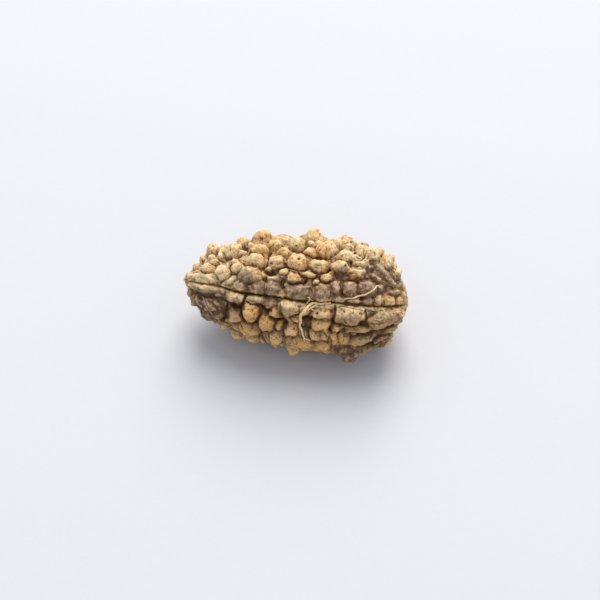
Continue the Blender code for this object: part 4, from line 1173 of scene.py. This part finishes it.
def wornWoodAndPaintedShade(build, look, base):
    # each layer as how much of it and its tone, one over the other: specks, grit, streaks, pale patches,
    # wrinkle lines, pores and browner knob bases are the wood's own colour, and the browns and near black
    # in the furrows, hollows, creases, gaps between knobs and fine hollows are painted shade
    cavity, crease, mottle, speck = look["cavity"], look["crease"], look["mottle"], look["speck"]
    # painted shade along the gaps between knobs, in patches
    knobGapShade = look["knobGapShade"] * build.between(mottle, 0.25, 0.55)
    wrinkle = build.between(look["ridge"], 0.035, 0.0)
    thinLines = (build.between(look["fineCavity"], 0.56, 0.8) * 0.7 + look["crack"] * 0.4).clamped()
    layers = (
        # painted shade in the furrows down the knobs' sides
        (look["furrow"] * 0.25, "brown"),
        (look["streak"] * 0.4, "brown"),
        (build.between(speck, 0.6, 0.8) * 0.25, "brown"),
        (look["low"] * build.between(mottle, 0.25, 0.65) * 0.28, "brown"),
        (build.between(speck, 0.5, 0.3) * 0.45, "light"),
        (build.between(look["grit"], 0.52, 0.68) * 0.35, "brown"),
        # painted shade in the hollows, near black in the deepest
        (build.between(cavity, 0.5, 0.7) * 0.5, "brown"),
        (build.between(cavity, 0.64, 0.95) * 0.85, "shadeAndPoreBlack"),
        # painted shade in the creases, near black in the deepest
        (build.between(crease, 0.15, 0.7) * 0.5, "brown"),
        (build.between(crease, 0.6, 1.2), "shadeAndPoreBlack"),
        # painted shade along the gaps between knobs, stronger underneath
        (knobGapShade * (0.12 + look["under"] * 0.45), "knobGapShade"),
        (look["pale"] * 0.28, "pale"),
        (wrinkle * (0.3 + look["stain"] * 0.4), "stainDark"),
        # painted shade in the fine hollows, and brown along the cracks
        (thinLines, "brown"),
        (look["pore"], "shadeAndPoreBlack"),
    )
    for share, tone in layers:
        base = build.mix(share, base, woodTones[tone])
    return base


def woodMaterial():
    material, build = newMaterial("woodyStone")
    look = skinFields(build)
    base = woodWithPaintedHighlight(build, look)
    base = stainWithPaintedLight(build, look, base)
    base = darkSpotsWithPaintedShade(build, look, base)
    base = wornWoodAndPaintedShade(build, look, base)
    roughness = 0.72 - look["stain"] * 0.12 - look["speck"] * 0.12
    height = look["speck"] * 0.6 + look["grit"] * 0.5 + look["mottle"] * 0.4
    constants = {"Specular IOR Level": 0.35, "Metallic": 0.0}
    finishMaterial(build, base, roughness, height, 0.0001, constants)
    return material


fibreTones = {"tan": linear(222, 180, 118), "pale": linear(252, 226, 178), "grey": linear(126, 104, 88)}


def fibreMaterial():
    material, build = newMaterial("driedFibre")
    where = build.node("ShaderNodeTexCoord", {}, {}, "Object")
    where = build.vectorMaths("SCALE", where, 1000.0)  # in millimetres
    streak = build.noise(where, 4.0, 3.0)
    colour = build.mix(build.between(streak, 0.3, 0.7), fibreTones["tan"], fibreTones["pale"])
    colour = build.mix(build.attribute("grey"), colour, fibreTones["grey"])
    finishMaterial(build, colour, 0.62 + streak * 0.1, streak, 0.00003, {"Specular IOR Level": 0.3})
    return material


# the fibres

# every dried strand, in millimetres
fibreLook = {
    "clear": 0.02,  # of the stone
    "step": 0.08,
    "wander": 0.05,
    "sides": 10,
    "tautness": 10,  # how many times a route is drawn straight over the hollows
    "easing": 4,
    "sideStrand": 0.5,  # its thickness over the main strand's
    "widestAt": 0.4,
}

# each with its (along, across) routes, and its thickness at the start, middle and end
fibres = {
    "fibre_straight": {
        "routes": (
            (
                (21.4, -0.55), (22.0, -0.35), (22.6, -0.25), (23.1, 0.05), (23.6, 0.1), (24.3, 0.45),
                (25.0, 0.95), (25.3, 1.35), (25.6, 1.65), (25.9, 1.6), (26.1, 1.4),
            ),
        ),
        "thickness": (0.16, 0.22, 0.16),
    },
    "fibre_curved": {
        "routes": (
            (
                (19.8, -1.35), (18.6, -1.35), (17.6, -1.5), (16.9, -1.9), (16.35, -2.45), (15.95, -3.1),
                (15.8, -3.8), (15.85, -4.5), (16.05, -5.15), (16.4, -5.75), (16.8, -6.25), (17.3, -6.6),
            ),
            ((16.5, -5.8), (16.6, -6.3), (16.9, -6.8)),
            ((18.5, -1.5), (17.6, -1.75), (16.9, -2.3), (16.4, -2.9)),
            ((15.9, -3.3), (15.6, -3.45), (15.3, -3.5)),
            ((17.0, -2.0), (17.3, -2.3), (17.6, -2.4)),
        ),
        "thickness": (0.22, 0.42, 0.2),
    },
    "fibre_hook": {
        "routes": (
            ((16.5, -1.7), (16.8, -1.3), (17.05, -0.85), (16.9, -0.55), (16.6, -0.6)),
            ((17.0, -0.9), (17.25, -0.95), (17.5, -1.05)),
        ),
        "thickness": (0.16, 0.2, 0.12),
    },
}
# finer strands with no part of their own
trimmings = {
    "hairs": {
        "routes": (
            ((18.8, -1.65), (18.9, -1.3), (19.15, -0.9)), ((19.1, -1.6), (19.3, -1.4), (19.6, -1.2)),
            ((12.7, -0.85), (13.0, -0.7), (13.3, -0.85), (13.4, -1.05)), ((5.0, -0.1), (5.6, -0.35),
            (6.2, -0.45)),
        ),
        "thickness": (0.12, 0.15, 0.08),
        "grey": 0.15,
    },
    "veins": {
        "routes": (
            ((2.5, -2.1), (2.9, -2.4), (3.25, -3.0), (3.7, -3.7), (4.4, -4.3), (5.0, -4.9)),
            ((6.4, -4.8), (7.0, -5.2), (7.6, -5.6), (8.1, -6.1)),
            ((9.9, -5.0), (10.5, -5.4), (11.0, -5.8), (11.5, -6.0)),
            ((13.9, -6.3), (14.1, -6.9), (14.4, -7.5)),
        ),
        "thickness": (0.12, 0.2, 0.12),
        "grey": 0.75,
    },
}


def layRoute(surface, route):
    # a route's points, and two between each pair, put on the stone where an eye in front sees them
    laid = []
    for (a0, c0), (a1, c1) in zip(route, route[1:] + route[-1:]):
        for share in (0.0, 0.33, 0.67) if (a0, c0) != (a1, c1) else (0.0,):
            along, across = a0 + (a1 - a0) * share, c0 + (c1 - c0) * share
            fromMiddle = along - stone["length"] / 2
            flat = Vector((fromMiddle + seen["offset"], 0, stone["axisHeight"])) + faceUp * across
            aside = seen["aside"] - fromMiddle / seen["distance"]
            toEye = faceOut + Vector((aside, 0, 0)) - faceUp * (seen["below"] + across / seen["distance"])
            hit = surface.ray_cast((flat + toEye * 30) * mm, -toEye)[0]
            laid.append(hit / mm)
    return laid


def easeClear(surface, laid, clear):
    # drawn taut over the hollows, then lifted clear of the stone
    depths = [point.dot(faceOut) for point in laid]
    for _ in range(fibreLook["tautness"]):
        between = [(a + b) / 2 for a, b in zip(depths, depths[2:])]
        taut = [max(own, straight) for own, straight in zip(depths[1:-1], between)]
        depths = [depths[0], *taut, depths[-1]]
    laid = [point + faceOut * (depth - point.dot(faceOut)) for point, depth in zip(laid, depths)]
    for _ in range(fibreLook["easing"]):
        eased = [(a + b * 2 + c) / 4 for a, b, c in zip(laid, laid[1:], laid[2:])]
        eased = [laid[0], *eased, laid[-1]]
        laid = []
        for point in eased:
            nearest, normal, _, _ = surface.find_nearest(point * mm)
            distance = (point - nearest / mm).dot(normal)
            laid.append(point + normal * (clear - distance) if distance < clear else point)
    return laid


def strandTree():
    # a tapered round strand along each route, with a small seeded wander
    build, takes = newTree("dried strands", "Routes", {
        "Step": "Float", "Wander": "Float", "Sides": "Int", "Seed": "Int", "Material": "Material",
    }, "Strands")
    inputs = {"Curve": takes["Routes"], "Length": takes["Step"]}
    curve = build.node("GeometryNodeResampleCurve", {"mode": "LENGTH"}, inputs)
    position = build.node("GeometryNodeInputPosition")
    inputs = {"Vector": position, "W": takes["Seed"], "Scale": 1400.0, "Detail": 1.0}
    drift = build.node("ShaderNodeTexNoise", {"noise_dimensions": "4D"}, inputs, 1)
    drift = build.vectorMaths("SUBTRACT", drift, (0.5, 0.5, 0.5))
    drift = build.vectorMaths("SCALE", drift, takes["Wander"])
    curve = build.node("GeometryNodeSetPosition", {}, {"Geometry": curve, "Offset": drift})
    inputs = {"Resolution": takes["Sides"], "Radius": 1.0}
    circle = build.node("GeometryNodeCurvePrimitiveCircle", {}, inputs)
    uneven = build.noise(position, 3500.0, 2.0) * 0.5 + 0.75
    tube = build.node("GeometryNodeCurveToMesh", {}, {
        "Curve": curve, "Profile Curve": circle, "Fill Caps": True,
        "Scale": build.node("GeometryNodeInputRadius") * uneven,
    })
    tube = build.node("GeometryNodeSetShadeSmooth", {}, {"Geometry": tube})
    return endTree(build, tube, takes["Material"])


def strandRadius(thickness, share):
    start, middle, end = thickness
    return np.interp(share, (0.0, fibreLook["widestAt"], 1.0), (start, middle, end)) / 2


def routeCurve(name, plan, surface):
    # the first route is the main strand, and those after it are finer side strands
    curve = bpy.data.curves.new(name, "CURVE")
    curve.dimensions = "3D"
    for order, route in enumerate(plan["routes"]):
        slim = 1.0 if order == 0 or "grey" in plan else fibreLook["sideStrand"]
        thickness = [value * slim for value in plan["thickness"]]
        laid = easeClear(surface, layRoute(surface, route), fibreLook["clear"] + max(thickness) / 2)
        spline = curve.splines.new("POLY")
        spline.points.add(len(laid) - 1)
        for i, (spot, co) in enumerate(zip(spline.points, laid)):
            spot.co = (*(co * mm), 1.0)
            spot.radius = strandRadius(thickness, i / (len(laid) - 1)) * mm
    return addObject(name + "_routes", curve)


def makeFibre(name, plan, surface, tree, material, number):
    source = routeCurve(name, plan, surface)
    modifier = source.modifiers.new("strands", "NODES")
    modifier.node_group = tree
    setInputs(modifier, {
        "Step": fibreLook["step"] * mm,
        "Wander": fibreLook["wander"] * mm,
        "Sides": fibreLook["sides"],
        "Seed": number,
        "Material": material,
    })
    mesh = evaluatedMesh(source)
    bpy.data.objects.remove(source)
    mesh.name = name + "_strand"
    storeValue(mesh, "grey", np.full(len(mesh.vertices), plan.get("grey", 0.0)))
    return addObject(name + "_strand", mesh)


# the table, the light and the camera

studio = {
    "azimuth": 7.0,
    "elevation": 50.0,
    "distance": 0.188,
    "lens": 85.0,
    "sensor": 36.0,
    "framing": (0.0006, 0.0015),  # of the view's middle, right of and below the stone's
    "floorSize": 3.0,
    "floorColour": (208, 207, 208),
    "floorGrain": (250, 250, 252),
    "skyColour": (232, 240, 255),
    "skyStrength": 0.74,
    "keyPower": 6.25,
    "keyColour": (255, 253, 248),
    "keySize": (0.5, 1.0),
    "keyPlace": (0.03, 0.40, 0.62),
}


def floorMaterial():
    material, build = newMaterial("paleTable")
    where = build.node("ShaderNodeTexCoord", {}, {}, "Object")
    grain = build.noise(where, 900.0, 2.0)
    colour = build.mix(grain * 0.04, linear(*studio["floorColour"]), linear(*studio["floorGrain"]))
    finishMaterial(build, colour, 0.85 + grain * 0.05, grain, 0.00002, {"Specular IOR Level": 0.1})
    return material


def makeFloor():
    half = studio["floorSize"] / 2
    mesh = bpy.data.meshes.new("table_top")
    corners = [(-half, -half, 0), (half, -half, 0), (half, half, 0), (-half, half, 0)]
    mesh.from_pydata(corners, [], [(0, 1, 2, 3)])
    floor = addObject("table_top", mesh)
    mesh.materials.append(floorMaterial())


def makeLight():
    world = bpy.data.worlds.new("softRoom")
    world.use_nodes = True
    sky = world.node_tree.nodes["Background"]
    sky.inputs["Color"].default_value = linear(*studio["skyColour"])
    sky.inputs["Strength"].default_value = studio["skyStrength"]
    bpy.context.scene.world = world
    lamp = bpy.data.lights.new("softBox", "AREA")
    lamp.shape = "ELLIPSE"
    lamp.size, lamp.size_y = studio["keySize"]
    lamp.energy = studio["keyPower"]
    lamp.color = linear(*studio["keyColour"])[:3]
    key = addObject("softBox", lamp)
    key.location = studio["keyPlace"]
    key.rotation_euler = (-Vector(studio["keyPlace"])).to_track_quat("-Z", "Y").to_euler()


def makeCamera():
    low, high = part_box("rudraksha_seed")
    middle = (low + high) / 2
    azimuth, elevation = math.radians(studio["azimuth"]), math.radians(studio["elevation"])
    level = math.cos(elevation)
    back = Vector((math.sin(azimuth) * level, -math.cos(azimuth) * level, math.sin(elevation)))
    turn = (-back).to_track_quat("-Z", "Y")
    aside, below = studio["framing"]
    middle = middle + turn @ Vector((aside, -below, 0.0))
    data = bpy.data.cameras.new("camera")
    data.lens = studio["lens"]
    data.sensor_width = studio["sensor"]
    data.clip_start = 0.01
    camera = addObject("camera", data)
    camera.location = middle + back * studio["distance"]
    camera.rotation_euler = turn.to_euler()
    bpy.context.scene.camera = camera


bpy.context.scene.view_settings.view_transform = "Standard"
print("table, light and camera")
makeCamera()
makeLight()
makeFloor()
wood = woodMaterial()
piece = makeStone(wood)
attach(piece, "root")
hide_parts("rudraksha_seed")
print("fibres")
corners = [vertex.co for vertex in piece.data.vertices]
surface = BVHTree.FromPolygons(corners, [face.vertices for face in piece.data.polygons])
strands = strandTree()
dried = fibreMaterial()
for number, (name, plan) in enumerate({**fibres, **trimmings}.items()):
    strand = makeFibre(name, plan, surface, strands, dried, number)
    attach(strand, "root")
    if name in fibres:
        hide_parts(name)
